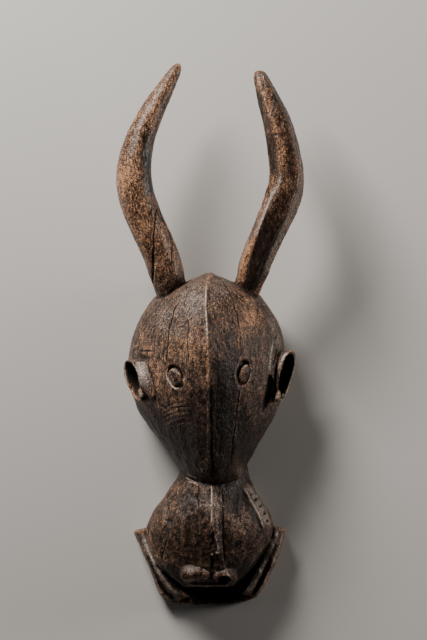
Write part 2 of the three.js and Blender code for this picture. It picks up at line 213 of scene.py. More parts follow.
# a point of each plane, the way it runs, the way it faces, and half the length of the planed stretch
PLANED = {"at": (67, -249, 78), "along": (0.46, -0.89, 0), "facing": (0.82, 0.42, 0.39), "half": 50}
CROWN_FACETS = [
    {"at": (-20, 62, 141), "along": (0.95, 0.3, 0), "facing": (-0.3, 0.78, 0.55), "half": 62},
    {"at": (22, 62, 139), "along": (0.95, -0.3, 0), "facing": (0.34, 0.76, 0.55), "half": 62},
]
FADE = (0.84, 1.04)  # the pressing fades out between these shares of half the length


def unit(vector):
    """The vector at length 1, along the last axis of an array."""
    vector = np.asarray(vector, float)
    return vector / np.linalg.norm(vector, axis=-1, keepdims=True)


def smooth(low, high, values):
    """0 below low, 1 above high, and a smooth step 3s^2 - 2s^3 between them."""
    s = np.clip((values - low) / (high - low), 0, 1)
    return s * s * (3 - 2 * s)


def plane_off(points, at, along, facing, half):
    """Moves the points outside a plane back onto it, over a stretch that reaches half its length each way."""
    along = unit(along)
    facing = np.asarray(facing, float)
    facing = unit(facing - along * (facing @ along))
    off = points - np.asarray(at, float)
    outside = np.maximum(off @ facing, 0)
    share = 1 - smooth(FADE[0] * half, FADE[1] * half, np.abs(off @ along))
    return points - (outside * share)[..., None] * facing


head = dome(HEAD, HEAD_GABLE, *HEAD_GRID)
for facet in CROWN_FACETS:
    head = plane_off(head, **facet)
head = closed_mesh("head", head)
muzzle = closed_mesh("muzzle", plane_off(dome(MUZZLE, MUZZLE_GABLE, *MUZZLE_GRID), **PLANED))
print("muzzle, mm:", [round(v / MM) for v in muzzle.dimensions])

# %% [markdown]
# ## The horns
# Both horns sweep out and up, and then in again. Each is a section carried along its curve, and the radius
# is one more number of the row. The left horn is round. The right one was left with the flat sides of the
# knife work, which catch the light one by one: its section is a hexagon whose corners a circle cuts off,
# and the hexagon turns a little on its way up.

# %% Two horns
# x, y, z of the middle, and the radius
LEFT_HORN = [
    [-45, 34, 66, 20], [-56, 72, 93, 22], [-61, 91, 101, 24], [-70, 116, 107, 24.3],
    [-88, 156, 116, 24.5], [-102, 195, 121, 25], [-104, 234, 122, 23.5], [-95, 273, 119, 20],
    [-78, 311, 114, 16], [-58, 346, 108, 11.4], [-46.5, 367, 104, 7.4], [-43.3, 374.3, 103, 3],
]
RIGHT_HORN = [
    [42, 34, 66, 17], [54, 72, 93, 19], [59.5, 90, 100, 22], [67, 111, 106, 22.3],
    [84, 149, 115, 23], [100, 186, 121, 24.8], [106, 218, 123, 24], [102, 254, 121, 22],
    [94, 290, 117, 19.5], [82, 324, 112, 15.5], [71.5, 352, 107, 10.8], [68, 361, 105, 7.6],
    [67.3, 364, 104, 4],
]
FLATS = np.radians(np.arange(0, 360, 60))  # the way each flat side faces, from the top to the outside
FLAT_SHARE = 0.905  # distance of a flat side from the middle, in radii
CORNER_SHARE = 1.03  # distance of the rounded corners
LEAST_SLANT = 0.05  # sides that turn further away than this are left out
TWIST = np.radians([-20, -20, -18, -14, -8, 6, 12, 10, 8, 6, 4, 4, 4])  # turn of the flats at each row


def flat_sided(turn, twist):
    """Distance of the surface from the middle: of all lines at the flat sides' distance, the nearest one."""
    slant = np.cos(turn[None, :, None] - twist[:, None, None] - FLATS)
    reach = np.where(slant > LEAST_SLANT, FLAT_SHARE / np.maximum(slant, LEAST_SLANT), CORNER_SHARE)
    return np.minimum(reach.min(2), CORNER_SHARE)


def horn(rows, twist=None, count=190, sides=96):
    """Rings along a curve: middle + radius * outline(t) * (cos t * front + sin t * side).

    The side lies square to the curve and level, and the front square to both. Without a twist it is round.
    """
    stations = even_rows(rows, count)
    middle, radius = stations[:, :3], stations[:, 3]
    way = unit(np.gradient(middle, axis=0))
    side = unit(np.cross(way, (0, 0, 1)))
    front = np.cross(side, way)
    turn = np.linspace(0, TURN, sides, endpoint=False)
    outline = 1.0 if twist is None else flat_sided(turn, even_rows(twist[:, None], count)[:, 0])
    reach = (radius[:, None] * np.ones(sides) * outline)[..., None]
    spokes = np.cos(turn)[:, None] * front[:, None] + np.sin(turn)[:, None] * side[:, None]
    return middle[:, None] + reach * spokes


left_horn = closed_mesh("left_horn", horn(LEFT_HORN))
right_horn = closed_mesh("right_horn", horn(RIGHT_HORN, TWIST))
print("horns, mm:", [[round(v / MM) for v in made.dimensions] for made in (left_horn, right_horn)])

# %% [markdown]
# ## The ears
# The ears are half-open cups set on the temples. A cup and the hollow in it are both rows of oval rings,
# each a little smaller and deeper than the last. The ovals narrow towards their lower end, and the cups
# open sideways and a little forwards.

# %% Two cupped ears
# the middle of the rim, the way the cup opens, the way it runs, and half its length and width
LEFT_EAR = {
    "at": (-106, -63, 93), "opens": (-0.8, 0, 0.6), "along": (-0.3, 0.95, 0), "length": 30, "width": 18,
}
RIGHT_EAR = {
    "at": (105.5, -56.8, 89), "opens": (0.75, 0, 0.66), "along": (0.24, 0.97, 0), "length": 36, "width": 17,
}
EAR_POINTED = 0.15
# depth under the rim, scale, and how much less than the outside each way
CUP = [[34, 0.72, 0], [17, 0.9, 0], [7, 0.96, 0], [0, 1, 0]]
DUG = [[19, 0.06, 0], [18.4, 0.34, 0], [14, 0.6, 0], [5.1, 0.86, 1.2], [-2, 1, 2.4], [-16, 1, 2.4]]


def ear_rings(rings, at, opens, along, length, width, count=40, sides=120):
    """Oval rings, square to the way the ear opens.

    A point lies at -depth along the opening, at length * scale * cos t along the ear and at
    width * scale * narrow * sin t across it, with narrow = 1 - pointed * (1 - cos t).
    """
    along = unit(along)
    opens = np.asarray(opens, float)
    opens = unit(opens - along * (opens @ along))
    across = np.cross(opens, along)
    depth, scale, inset = np.moveaxis(even_rows(rings, count)[:, None, :], -1, 0)
    turn = np.linspace(0, TURN, sides, endpoint=False)
    up = (length * scale - inset) * np.cos(turn)
    wide = (width * scale - inset) * (1 - EAR_POINTED * (1 - np.cos(turn))) * np.sin(turn)
    return np.asarray(at, float) - depth[..., None] * opens + up[..., None] * along + wide[..., None] * across


ear_cups = [closed_mesh("ear_cup", ear_rings(CUP, **ear)) for ear in (LEFT_EAR, RIGHT_EAR)]
ear_hollows = [closed_mesh("ear_hollow", ear_rings(DUG, **ear)) for ear in (LEFT_EAR, RIGHT_EAR)]
print("ear cups, mm:", [[round(v / MM) for v in cup.dimensions] for cup in ear_cups])

# %% [markdown]
# ## Setting small forms on the face
# An eye has to sit square on the slanting cheek. The height of the dome at a place is solved from the same
# section formula as the head, and the slope there from two neighbouring heights. A small form is then made
# flat, with its own third axis standing out of the surface.

# %% Places on the face
FINE_ROWS = 4000  # rows of the head, close enough together to be looked up by their y
SLOPE_STEP = 2  # mm between the heights that give the slope


def face_height(x, y):
    """Height of the head over a place: the section whose y matches is found, and its formula is used."""
    fine = even_rows(HEAD, FINE_ROWS)
    _, left, right, ridge, top, mid, _ = fine[np.argmin(np.abs(fine[:, 0] - y))]
    across = min(abs(x - ridge) / (left + ridge if x < ridge else right - ridge), 1)
    return mid + (top - mid) * ((1 - HEAD_GABLE) * math.sqrt(1 - across * across) + HEAD_GABLE * (1 - across))


def seat(points, place):
    """Moves points from a form's own axes to a place on the face: right, up the face, out of the surface."""
    x, y = place
    z = face_height(x, y)
    out = unit((z - face_height(x + SLOPE_STEP, y), z - face_height(x, y + SLOPE_STEP), SLOPE_STEP))
    right = unit(np.cross((0, 1, 0), out))
    return np.asarray(points) @ np.stack([right, np.cross(out, right), out]) + (x, y, z)


def ball(radii, middle=(0, 0, 0), tilt=0.0, fullness=1.0, count=40, sides=80):
    """Rings of an ellipsoid, turned by tilt in its own plane.

    A ring at the pitch p has the radius cos(p)^f and the height sin(p)^f. With a fullness f under 1 the form
    gets a flatter top and steeper sides.
    """
    pitch = np.linspace(-np.pi / 2, np.pi / 2, count + 2)[1:-1, None]
    turn = np.linspace(0, TURN, sides, endpoint=False)
    radius, height = np.cos(pitch) ** fullness, np.sign(pitch) * np.abs(np.sin(pitch)) ** fullness
    x, y, z = np.broadcast_arrays(radius * np.cos(turn), radius * np.sin(turn), height)
    x, y, z = x * radii[0], y * radii[1], z * radii[2]
    c, s = math.cos(tilt), math.sin(tilt)
    return np.stack([x * c - y * s, x * s + y * c, z], -1) + middle


print("height of the cheek under the left eye, mm:", round(face_height(-47.5, -58), 1))

# %% [markdown]
# ## The eyes
# The eyes are carved in two cuts: a shallow oval pan with steep sides, and an eyeball left standing in it,
# so that a dark groove runs round the ball. Both are leaning a little, and the right one is narrower.

# %% Sockets and eyeballs
# where it sits, half sizes of the pan and of the ball, its tilt, and the ball's place in the pan
LEFT_EYE = {
    "place": (-47.6, -57.6), "pan": (13.2, 18.2), "ball": (10.8, 13.6), "tilt": 0.38, "shift": (-1.2, -1.6),
}
RIGHT_EYE = {
    "place": (46.2, -52.5), "pan": (12.8, 19.2), "ball": (7.6, 13.4), "tilt": -0.26, "shift": (3.4, -0.8),
}
EYE_DEPTH = 6.0
EYE_RISE = 0.4  # the ball's top over the face
EYE_FULLNESS = 0.42
PAN_TILT = 0.8  # share of the ball's tilt
# share of the pan's half size, and height in depths
PAN_PROFILE = [[0.02, -1], [0.5, -1], [0.8, -0.96], [0.9, -0.8], [1.0, 0.0], [1.2, 1.6], [1.25, 3.0]]


def pan(half_width, half_length, depth, tilt, count=40, sides=120):
    """Rings of a flat-bottomed pan that widens upwards, turned by tilt in its own plane.

    A point lies at half width * share * cos t and half length * share * sin t, with the profile's share.
    """
    rows = even_rows(PAN_PROFILE, count)
    turn = np.linspace(0, TURN, sides, endpoint=False)
    x = half_width * rows[:, :1] * np.cos(turn)
    y = half_length * rows[:, :1] * np.sin(turn)
    c, s = math.cos(tilt), math.sin(tilt)
    return np.stack([x * c - y * s, x * s + y * c, np.broadcast_to(depth * rows[:, 1:], x.shape)], -1)


sockets, eyeballs = [], []
for eye in (LEFT_EYE, RIGHT_EYE):
    dug = pan(*eye["pan"], EYE_DEPTH, PAN_TILT * eye["tilt"])
    radii, middle = (*eye["ball"], EYE_DEPTH + EYE_RISE), (*eye["shift"], -EYE_DEPTH)
    left_standing = ball(radii, middle, eye["tilt"], EYE_FULLNESS)
    sockets.append(closed_mesh("socket", seat(dug, eye["place"])))
    eyeballs.append(closed_mesh("eyeball", seat(left_standing, eye["place"])))
print("eyes:", len(eyeballs))

# %% [markdown]
# ## The nose
# Two nostrils swell at the end of the muzzle, each with a hollow cut under it. Both run out towards the
# middle like a drop, the left one longer, so each is a large ball and one or two smaller ones in a row.
# Plain ellipsoids are enough, because the carver's round knobs are that simple, and the next steps soften
# the joints between them.

# %% Nostrils
# middle, radii and tilt of each lobe
LOBES = [
    ((-26, -328.5, 80), (15.4, 12.4, 14), 0.12),
    ((-17, -327.8, 80.2), (12, 10.6, 13.6), -0.2),
    ((-9.5, -328.6, 80.5), (12.8, 8.8, 13), -0.22),
    ((21.8, -332, 78), (17, 12, 13.5), -0.1),
    ((11.5, -331.5, 79.5), (8.5, 7.5, 12), 0.5),
]
# middle and radii of the hollows under them
NOSTRILS = [((-21, -344.5, 77), (9, 5, 7)), ((19.7, -342, 83), (10.5, 10.5, 14))]

lobes = [closed_mesh("lobe", ball(radii, middle, tilt)) for middle, radii, tilt in LOBES]
nostrils = [closed_mesh("nostril", ball(radii, middle)) for middle, radii in NOSTRILS]
print("lobes:", len(lobes), "hollows:", len(nostrils))

# %% [markdown]
# ## The jaws
# The mouth is one slot sawn between the muzzle and a flat lower jaw. Both are outlines seen from above,
# carried straight up like the saw goes, and only at their tops they draw in a little. The corners are
# short curves, drawn towards one point.

# %% Lower jaw and mouth
JAW_PLATE = 13  # height of the plate's top
JAW_EDGE = 2  # height of the rounded edge on top of the plate
JAW_TOP_SHARE = 0.985  # size of the plate's top against its foot
MOUTH_ROOF = 52  # height of the slot's roof
MOUTH_EDGE = 6  # height over which the slot draws in under its roof
MOUTH_ROOF_SHARE = 0.95
UNDER_FLOOR = -5  # forms reach under the floor, and are cut off level with it later


def bend(a, b, c, count=14):
    """Points on a quadratic curve from a to c that is drawn towards b: (1-s)^2 a + 2 s (1-s) b + s^2 c."""
    s = np.linspace(0, 1, count)[:, None]
    return ((1 - s) ** 2 * np.array(a) + 2 * s * (1 - s) * np.array(b) + s**2 * np.array(c)).tolist()


def prism(outline, heights, scales):
    """Rings of one outline at several heights, each scaled about the outline's middle."""
    outline = np.asarray(outline, float)
    middle = outline.mean(0)
    flat = [middle + (outline - middle) * scale for scale in scales]
    return np.stack([np.column_stack([ring, np.full(len(ring), z)]) for ring, z in zip(flat, heights)])


jaw_outline = [
    [-98, -285], [-66, -362], *bend((-66, -362), (-63, -369), (-52, -371.5)),
    *bend((-52, -371.5), (-8, -378), (48, -370)), *bend((48, -370), (60, -368), (64, -361)),
    [98, -285], [78, -262], [-78, -262],
]
mouth_outline = [
    [-74, -298], [-61, -325], [-42, -348], [-24, -362], [-14, -400], [34, -400], [43, -358], [53, -342],
    [64, -317], [73, -296], *bend((73, -296), (0, -280), (-74, -298)),
]
jaw_heights = (UNDER_FLOOR, JAW_PLATE - JAW_EDGE, JAW_PLATE)
mouth_heights = (JAW_PLATE, MOUTH_ROOF - MOUTH_EDGE, MOUTH_ROOF)
jaw = closed_mesh("jaw", prism(jaw_outline, jaw_heights, (1, 1, JAW_TOP_SHARE)))
mouth = closed_mesh("mouth", prism(mouth_outline, mouth_heights, (1, 1, MOUTH_ROOF_SHARE)))
print("jaw, mm:", [round(v / MM) for v in jaw.dimensions])

# %% [markdown]
# ## The lips
# On the edges of the lower jaw stand two thick lips, which spread backwards and show on both sides of the
# muzzle. A lip is a section carried from back to front between an outer and an inner line. At the back both
# are plain rolls. Towards the front a groove opens in each, and on the left it parts the roll from a thin,
# lower outer strip.

# %% Lips
# x, y of the outer and of the inner edge, and the height
LEFT_LIP = [
    [-103, -273, -84, -268, 43], [-92, -300, -76, -298, 42], [-79, -330, -63, -326, 39],
    [-66, -356, -45, -349, 33], [-50, -369, -26, -363, 27],
]
RIGHT_LIP = [
    [103, -270, 87, -265, 44], [98, -292, 78, -290, 42], [87, -322, 67, -318, 39],
    [73, -350, 55, -344, 33], [63, -364, 44, -359, 27],
]
# share of the way from the outer to the inner edge, and share of the height: at the back, and at the front
ROLL = [
    [-0.06, -0.2], [-0.06, 0.3], [-0.03, 0.72], [0.06, 0.86], [0.2, 0.93], [0.34, 0.97],
    [0.48, 1.0], [0.62, 0.99], [0.76, 0.96], [0.9, 0.88], [1.0, 0.74], [1.0, 0.3], [1.0, -0.2],
]
LEFT_FRONT = [
    [-0.2, -0.2], [-0.19, 0.3], [-0.17, 0.66], [-0.06, 0.78], [0.08, 0.76], [0.2, 0.75],
    [0.3, 0.86], [0.45, 0.96], [0.62, 1.0], [0.8, 0.97], [0.98, 0.8], [1.0, 0.3], [1.0, -0.2],
]
RIGHT_FRONT = [
    [-0.04, -0.2], [-0.04, 0.3], [-0.02, 0.74], [0.08, 0.88], [0.2, 0.87], [0.32, 0.78],
    [0.46, 0.83], [0.58, 0.96], [0.72, 1.0], [0.86, 0.96], [0.98, 0.82], [1.0, 0.3], [1.0, -0.2],
]
LIP_NOSE = 0.12  # the last share of a lip, in which it is rounded down
LIP_NOSE_HEIGHT = 0.6  # share of the height that is left at its very end


def lip(rows, front, split, count=90, sides=90):
    """Rings along a lip. Its section changes from a roll to the front's between the two shares of the split.

    x and y lie between the two edges by the section's share, and z is the height times the section's rise.
    """
    out_x, out_y, in_x, in_y, height = np.moveaxis(even_rows(rows, count)[:, None, :], -1, 0)
    along = np.linspace(0, 1, count)[:, None]
    change = smooth(*split, along)
    at_back, at_front = even_rows(ROLL, sides).T, even_rows(front, sides).T
    share, rise = ((1 - change) * back + change * fore for back, fore in zip(at_back, at_front))
    rounding = np.sqrt(1 - np.clip(1 - (1 - along) / LIP_NOSE, 0, 1) ** 2)
    height = height * (LIP_NOSE_HEIGHT + (1 - LIP_NOSE_HEIGHT) * rounding)
    return np.stack([out_x + (in_x - out_x) * share, out_y + (in_y - out_y) * share, height * rise], -1)


lips = [
    closed_mesh("left_lip", lip(LEFT_LIP, LEFT_FRONT, (0.45, 0.85))),
    closed_mesh("right_lip", lip(RIGHT_LIP, RIGHT_FRONT, (0.35, 0.7))),
]
print("lips, mm:", [[round(v / MM) for v in one.dimensions] for one in lips])

# %% [markdown]
# ## The hollow for the wearer
# The head is dug out from below. The hollow follows the outside at the thickness of the wall and closes
# towards both ends like a barrel, so it is the same dome, with its rows worked out from the head's own.

# %% The hollow
WALL = 17  # mm of wood at the sides
CROWN_WALL = 21  # mm of wood at the ridge
HOLLOW_TOP, HOLLOW_LOW = 66, -150  # y of its two ends
HOLLOW_GABLE = 0.18
HOLLOW_DEPTH = 160  # it goes on under the floor, so that it opens downwards
HOLLOW_ROWS = 60
LEAST_SHARE = 0.02
HOLLOW_GRID = (120, 180)


def hollow_rows(count):
    """Rows of the hollow: the head's sizes less the wall, times sqrt(1 - a^4), with a from -1 to 1 along it.

    The two ends keep a small share, because a ring can't have the size 0.
    """
    along = -np.cos(np.linspace(0, np.pi, count))
    y = HOLLOW_LOW + (HOLLOW_TOP - HOLLOW_LOW) / 2 * (1 + along)
    fine = even_rows(HEAD, FINE_ROWS)[::-1]
    left, right, ridge, top, mid = (np.interp(y, fine[:, 0], fine[:, k]) for k in range(1, 6))
    share = np.maximum(np.sqrt(1 - along**4), LEAST_SHARE)
    roof = mid + (top - CROWN_WALL - mid) * share
    low = mid - HOLLOW_DEPTH * share
    return np.column_stack([y, (left - WALL) * share, (right - WALL) * share, ridge * share, roof, mid, low])


hollow = closed_mesh("hollow", dome(hollow_rows(HOLLOW_ROWS), HOLLOW_GABLE, *HOLLOW_GRID))
print("hollow, mm:", [round(v / MM) for v in hollow.dimensions])

# %% [markdown]
# ## One block of wood
# Now the forms become one solid. Boolean modifiers join and cut them in the carver's order: the eyes go
# into the head, the muzzle and the jaws are set on, then come the horns and ears, and the hollows are
# dug last. A box under the floor takes off everything below the level that the mask lies on. The small lobe
# at the lower end of each ear comes after the cuts, or the ear's hollow would eat it.

# %% Joining and cutting
# x, y, z and radius of the gouged pit beside the right ear, from its top to its lower end
EAR_PIT = [
    [84, -53, 112, 1], [83.5, -58, 107, 5.2], [84, -66, 104, 6.4], [83.4, -75, 103, 6.2],
    [80.8, -84, 103, 5.4], [77.5, -94, 103, 5.0], [73.5, -104, 104.5, 4.0], [71, -112, 108, 1],
]
# the swelling beside the left ear, with a ledge planed across its upper end
EAR_ROOT = {"radii": (13, 33, 9), "middle": (0, 0, -1.5), "tilt": 0.38}
EAR_ROOT_PLACE = (-88.5, -58)
EAR_LEDGE = {"at": (-90, -36, 100), "along": (1, 0.06, 0), "facing": (0, 1, 0.1), "half": 60}
# the notch in the right ear's rim
EAR_NOTCH = {"radii": (3.2, 8, 9), "middle": (101.5, -80, 88), "tilt": -0.3}
EAR_LOBES = [
    {"radii": (3.8, 8.5, 9), "middle": (-94, -82.5, 101), "tilt": 0.35},
    {"radii": (3.8, 8.5, 9), "middle": (94.2, -84.5, 95), "tilt": -0.2},
]
GROUND = [[-300, -500], [300, -500], [300, 500], [-300, 500]]
GROUND_DEPTH = 400


def settle(made):
    """Gives the object the mesh that its modifiers make, and clears them."""
    graph = bpy.context.evaluated_depsgraph_get()
    old = made.data
    made.data = bpy.data.meshes.new_from_object(made.evaluated_get(graph))
    made.modifiers.clear()
    bpy.data.meshes.remove(old)


def carve(block, forms, how):
    """Joins forms to the block with UNION, or cuts them away with DIFFERENCE, one after the other."""
    for form in forms:
        step = block.modifiers.new("carve", "BOOLEAN")
        step.solver = "MANIFOLD"
        step.operation = how
        step.object = form
    settle(block)
    for form in forms:
        bpy.data.meshes.remove(form.data)


ear_pit = closed_mesh("ear_pit", horn(EAR_PIT, count=60, sides=60))
ear_root = closed_mesh("ear_root", plane_off(seat(ball(**EAR_ROOT), EAR_ROOT_PLACE), **EAR_LEDGE))
ear_notch = closed_mesh("ear_notch", ball(**EAR_NOTCH))
ground = closed_mesh("ground", prism(GROUND, (-GROUND_DEPTH, 0), (1, 1)))
mask = head
mask.name = "carved_mask"
carve(mask, sockets, "DIFFERENCE")
carve(mask, [*eyeballs, muzzle], "UNION")
carve(mask, [mouth], "DIFFERENCE")
carve(mask, [jaw, *lips, left_horn, right_horn, *lobes, *ear_cups, ear_root], "UNION")
carve(mask, [*nostrils, *ear_hollows, ear_pit, ear_notch, hollow, ground], "DIFFERENCE")
carve(mask, [closed_mesh("ear_lobe", ball(**lobe)) for lobe in EAR_LOBES], "UNION")
print("faces of the block:", len(mask.data.polygons))

# %% [markdown]
# ## An even skin
# Cut and joined forms meet in lines that are sharper than any knife leaves, and their faces have all
# sizes. The Remesh modifier lays a skin of even squares over the whole block, about a millimetre wide. On
# such a skin every tool mark and crack can be pressed in with the same arithmetic, which reads and writes
# all its points as one array.

# %% Remeshing
VOXEL = 1.0  # mm

skin = mask.modifiers.new("skin", "REMESH")
skin.mode = "VOXEL"
skin.voxel_size = VOXEL * MM
settle(mask)


def read(collection, name, width, kind=np.float32):
    """A property of all vertices, normals or edges, as one array with the given number of columns."""
    values = np.empty(len(collection) * width, kind)
    collection.foreach_get(name, values)
    return values.reshape(-1, width)


def skin_points():
    """The skin's points in mm."""
    return read(mask.data.vertices, "co", 3).astype(float) / MM


def place_points(points):
    """Moves the skin's points, given in mm."""
    mask.data.vertices.foreach_set("co", (points * MM).astype(np.float32).ravel())
    mask.data.update()


def skin_normals():
    """The way that the surface faces at each point."""
    return read(mask.data.vertex_normals, "vector", 3).astype(float)


print("points of the skin:", len(skin_points()))

# %% [markdown]
# ## Crumbs and roughness
# Where two cuts nearly meet, the skin can leave a loose crumb, so everything but the largest connected part
# is deleted. The squares also leave tiny steps, which one round of smoothing takes out. Smoothing moves
# each value towards the mean of its neighbours, and it works on any value that the points hold.

# %% Loose crumbs and smoothing
def part_of(edges, count):
    """For each point, one point's number that is the same all over its connected part.

    Each point takes the lowest number at the other ends of its edges, and then the number which that point
    holds, until nothing changes.
    """
    part = np.arange(count)
    while True:
        lower = part.copy()
        np.minimum.at(lower, edges[:, 0], part[edges[:, 1]])
        np.minimum.at(lower, edges[:, 1], part[edges[:, 0]])
        lower = lower[lower]
        if np.array_equal(lower, part):
            return part
        part = lower


part = part_of(read(mask.data.edges, "vertices", 2, np.int32), len(mask.data.vertices))
crumbs = np.flatnonzero(part != np.bincount(part).argmax())
shape = bmesh.new()
shape.from_mesh(mask.data)
shape.verts.ensure_lookup_table()
bmesh.ops.delete(shape, geom=[shape.verts[k] for k in crumbs], context="VERTS")
shape.to_mesh(mask.data)
shape.free()
print("points of loose crumbs:", len(crumbs))

EDGES = read(mask.data.edges, "vertices", 2, np.int32)
VALENCE = np.bincount(EDGES.ravel(), minlength=len(mask.data.vertices))[:, None]
SOFTENING = 0.6  # share of the way to the neighbours' mean


def soften(values, rounds):
    """Each value moves towards the mean of its neighbours along the edges, so many times."""
    a, b = EDGES.T
    count = len(values)
    for _ in range(rounds):
        sums = [np.bincount(a, column[b], count) + np.bincount(b, column[a], count) for column in values.T]
        values = (1 - SOFTENING) * values + SOFTENING * np.column_stack(sums) / VALENCE
    return values


place_points(soften(skin_points(), 1))
print("points left:", len(VALENCE))

# %% [markdown]
# ## Randomness that stays the same
# Wood and knife work need irregular patterns that come out the same every time. A number made by mixing
# the whole-number place of a lattice cell looks random but never changes. Smooth noise blends these
# numbers between cells, and the cuts of a blade are the areas nearest to points thrown into the cells.

# %% Noise and cuts
def mixed(cells, seed):
    """A number from 0 to 1 for each cell: its three whole numbers times odd factors, added up and folded."""
    cells = cells.astype(np.uint64)
    h = cells[..., 0] * np.uint64(0x9E3779B97F4A7C15) + cells[..., 1] * np.uint64(0xC2B2AE3D27D4EB4F)
    h += cells[..., 2] * np.uint64(0x165667B19E3779F9) + np.uint64(seed * 0x27D4EB2F)
    h ^= h >> np.uint64(29)
    h *= np.uint64(0xBF58476D1CE4E5B9)
    h ^= h >> np.uint64(32)
    return (h & np.uint64(0xFFFFFF)).astype(float) / 0xFFFFFF


def noise(points, size, seed):
    """Smooth noise from -1 to 1: the numbers at a cell's corners, blended by smooth steps along each axis."""
    scaled = points / np.asarray(size, float)
    base = np.floor(scaled).astype(np.int64)
    f = scaled - base
    f = f * f * (3 - 2 * f)
    total = np.zeros(len(points))
    for corner in itertools.product((0, 1), repeat=3):
        weight = np.prod(np.where(np.array(corner) == 1, f, 1 - f), axis=1)
        total += weight * mixed(base + corner, seed)
    return 2 * total - 1


def cuts(points, size, seed):
    """Squared distance, in cells, to the nearest of the points that were thrown, one into each cell."""
    scaled = points / np.asarray(size, float)
    base = np.floor(scaled).astype(np.int64)
    nearest = np.full(len(points), np.inf)
    for step in itertools.product((-1, 0, 1), repeat=3):
        cell = base + step
        thrown = np.stack([mixed(cell, seed + k) for k in range(3)], -1)
        nearest = np.minimum(nearest, ((cell + thrown - scaled) ** 2).sum(1))
    return nearest


points = skin_points()
print("noise from", noise(points, 30, 1).min().round(2), "to", noise(points, 30, 1).max().round(2))

# %% [markdown]
# ## Inside and outside
# The hollow was dug with a gouge and never polished, so it needs its own marks and its own colour. A point
# belongs to it when it lies within the hollow's section at its own y. The same question, asked of the normal,
# tells which points can be seen from above, where the listed marks are placed.

# %% Which points are inside
MARGIN, ROOF_MARGIN = 2, 2.5  # mm outside the hollow that still count, because the skin lies on its surface
WIDEST = 1.02  # share of the hollow's reach that counts as well

rows = even_rows(hollow_rows(HOLLOW_ROWS), FINE_ROWS // 4)
y = points[:, 1]
left, right, ridge, top, mid = (np.interp(y, rows[:, 0], rows[:, k]) for k in range(1, 6))
reach = np.where(points[:, 0] < ridge, left + ridge, right - ridge)
across = np.abs(points[:, 0] - ridge) / np.maximum(reach, 1)
arch = np.sqrt(np.clip(1 - across**2, 0, 1))
roof = mid + (top - mid) * ((1 - HOLLOW_GABLE) * arch + HOLLOW_GABLE * (1 - np.clip(across, 0, 1)))
between = (y > HOLLOW_LOW - MARGIN) & (y < HOLLOW_TOP + MARGIN)
within = across < WIDEST + MARGIN / np.maximum(reach, 1)
inside = between & within & (points[:, 2] < np.where(across < 1, roof, mid) + ROOF_MARGIN)
inside = soften(inside[:, None].astype(float), 3)[:, 0]
print("share of the skin inside the hollow:", inside.mean().round(3))

# %% [markdown]
# ## Marks with a place of their own
# Some marks are too particular for a pattern: the crisp ridge, the dent over the left ear, the flat strip
# down the muzzle. Each is a soft oval or a line on the plan, seen from above. Two helpers give a value that
# is 1 on the mark and falls off around it, so the same marks can raise the surface or colour it later.

# %% Ovals and lines
def oval(middle, radii, turn=0.0):
    """1 in the middle of an oval on the plan, falling off as exp(-d^2), with d the distance in radii."""
    c, s = math.cos(turn), math.sin(turn)
    off = points[:, :2] - middle
    u = (off[:, 0] * c + off[:, 1] * s) / radii[0]
    v = (off[:, 1] * c - off[:, 0] * s) / radii[1]
    return np.exp(-(u * u + v * v))


def beside(line, waver=0.0):
    """Signed distance on the plan to a line, positive to its right, and the share of the way along it.

    The waver moves the points sideways first, so that a straight line comes out uneven.
    """
    line = np.asarray(line, float)
    plan = points[:, :2] + np.column_stack([np.broadcast_to(waver, len(points)), np.zeros(len(points))])
    lengths = np.linalg.norm(np.diff(line, axis=0), axis=1)
    best = np.full(len(points), np.inf)
    side, share = np.zeros(len(points)), np.zeros(len(points))
    done = 0.0
    for a, b, length in zip(line[:-1], line[1:], lengths):
        way = (b - a) / length
        off = plan - a
        along = np.clip(off @ way, 0, length)
        away = off - along[:, None] * way
        distance = np.hypot(*away.T)
        nearer = distance < best
        best = np.where(nearer, distance, best)
        side = np.where(nearer, np.sign(off[:, 0] * way[1] - off[:, 1] * way[0]), side)
        share = np.where(nearer, (done + along) / lengths.sum(), share)
        done += length
    return best * side, share


def trace(line, width, ends=0.12):
    """1 on the line and 0 away from it, as exp(-(d / width)^2), thinning out over both ends."""
    distance, share = beside(line)
    return np.exp(-((distance / width) ** 2)) * smooth(0, ends, share) * smooth(0, ends, 1 - share)


def seen_from_above():
    """1 where the surface can be seen from above, 0 where it turns away or lies in the hollow."""
    return smooth(0.05, 0.3, skin_normals()[:, 2]) * (1 - inside)


print("share of the skin seen from above:", seen_from_above().mean().round(2))

# %% [markdown]
# ## Forms pressed and raised
# The knife left crisp lines: the ridge with a groove beside it, the rims of the eyes, the edge of the planed
# flat, three short bars under the chin. Growth rings show as arcs on the left cheek, where their soft wood
# is worn down. Each line or oval has a height in millimetres, and all are added up before the surface moves.

# %% Lines and ovals of the face
RIDGE = [
    (-0.5, 86), (-3.9, 72), (-5, 63), (-5.9, 41), (-4.1, 17), (-3.1, -18),
    (-1.8, -54), (-1.6, -79), (-2.2, -119), (-1.4, -160), (0.6, -191),
]
RIDGE_GROOVE = [(1, -62), (1.6, -100), (1.8, -140), (2.6, -175), (3.6, -199)]
BEVEL = [(44.6, -206), (55, -228), (66.7, -249), (73, -262), (76.4, -273)]
BESIDE_BEVEL = [(x - 6, y + 2) for x, y in BEVEL]
EYE_RIMS = [
    [(-61.2, -50), (-57.7, -61), (-52.2, -69.5), (-46.6, -74), (-39.7, -71.5), (-36, -63), (-34.4, -55)],
    [(43, -36), (37, -44), (34.9, -55), (37.7, -66), (43, -73)],
]
CHIN_BARS = [
    [(-33, -191), (-16, -199)], [(-34.5, -196.5), (-17, -205)], [(-31, -202), (-13, -208)],
]
# the arcs where soft wood between growth rings is worn down on the left cheek, from the upper one down
CHEEK_ARCS = [bend((-70, -107 - drop), (-52, -90 - drop), (-21.5, -92 - drop)) for drop in (0, 7, 13, 20, 28)]

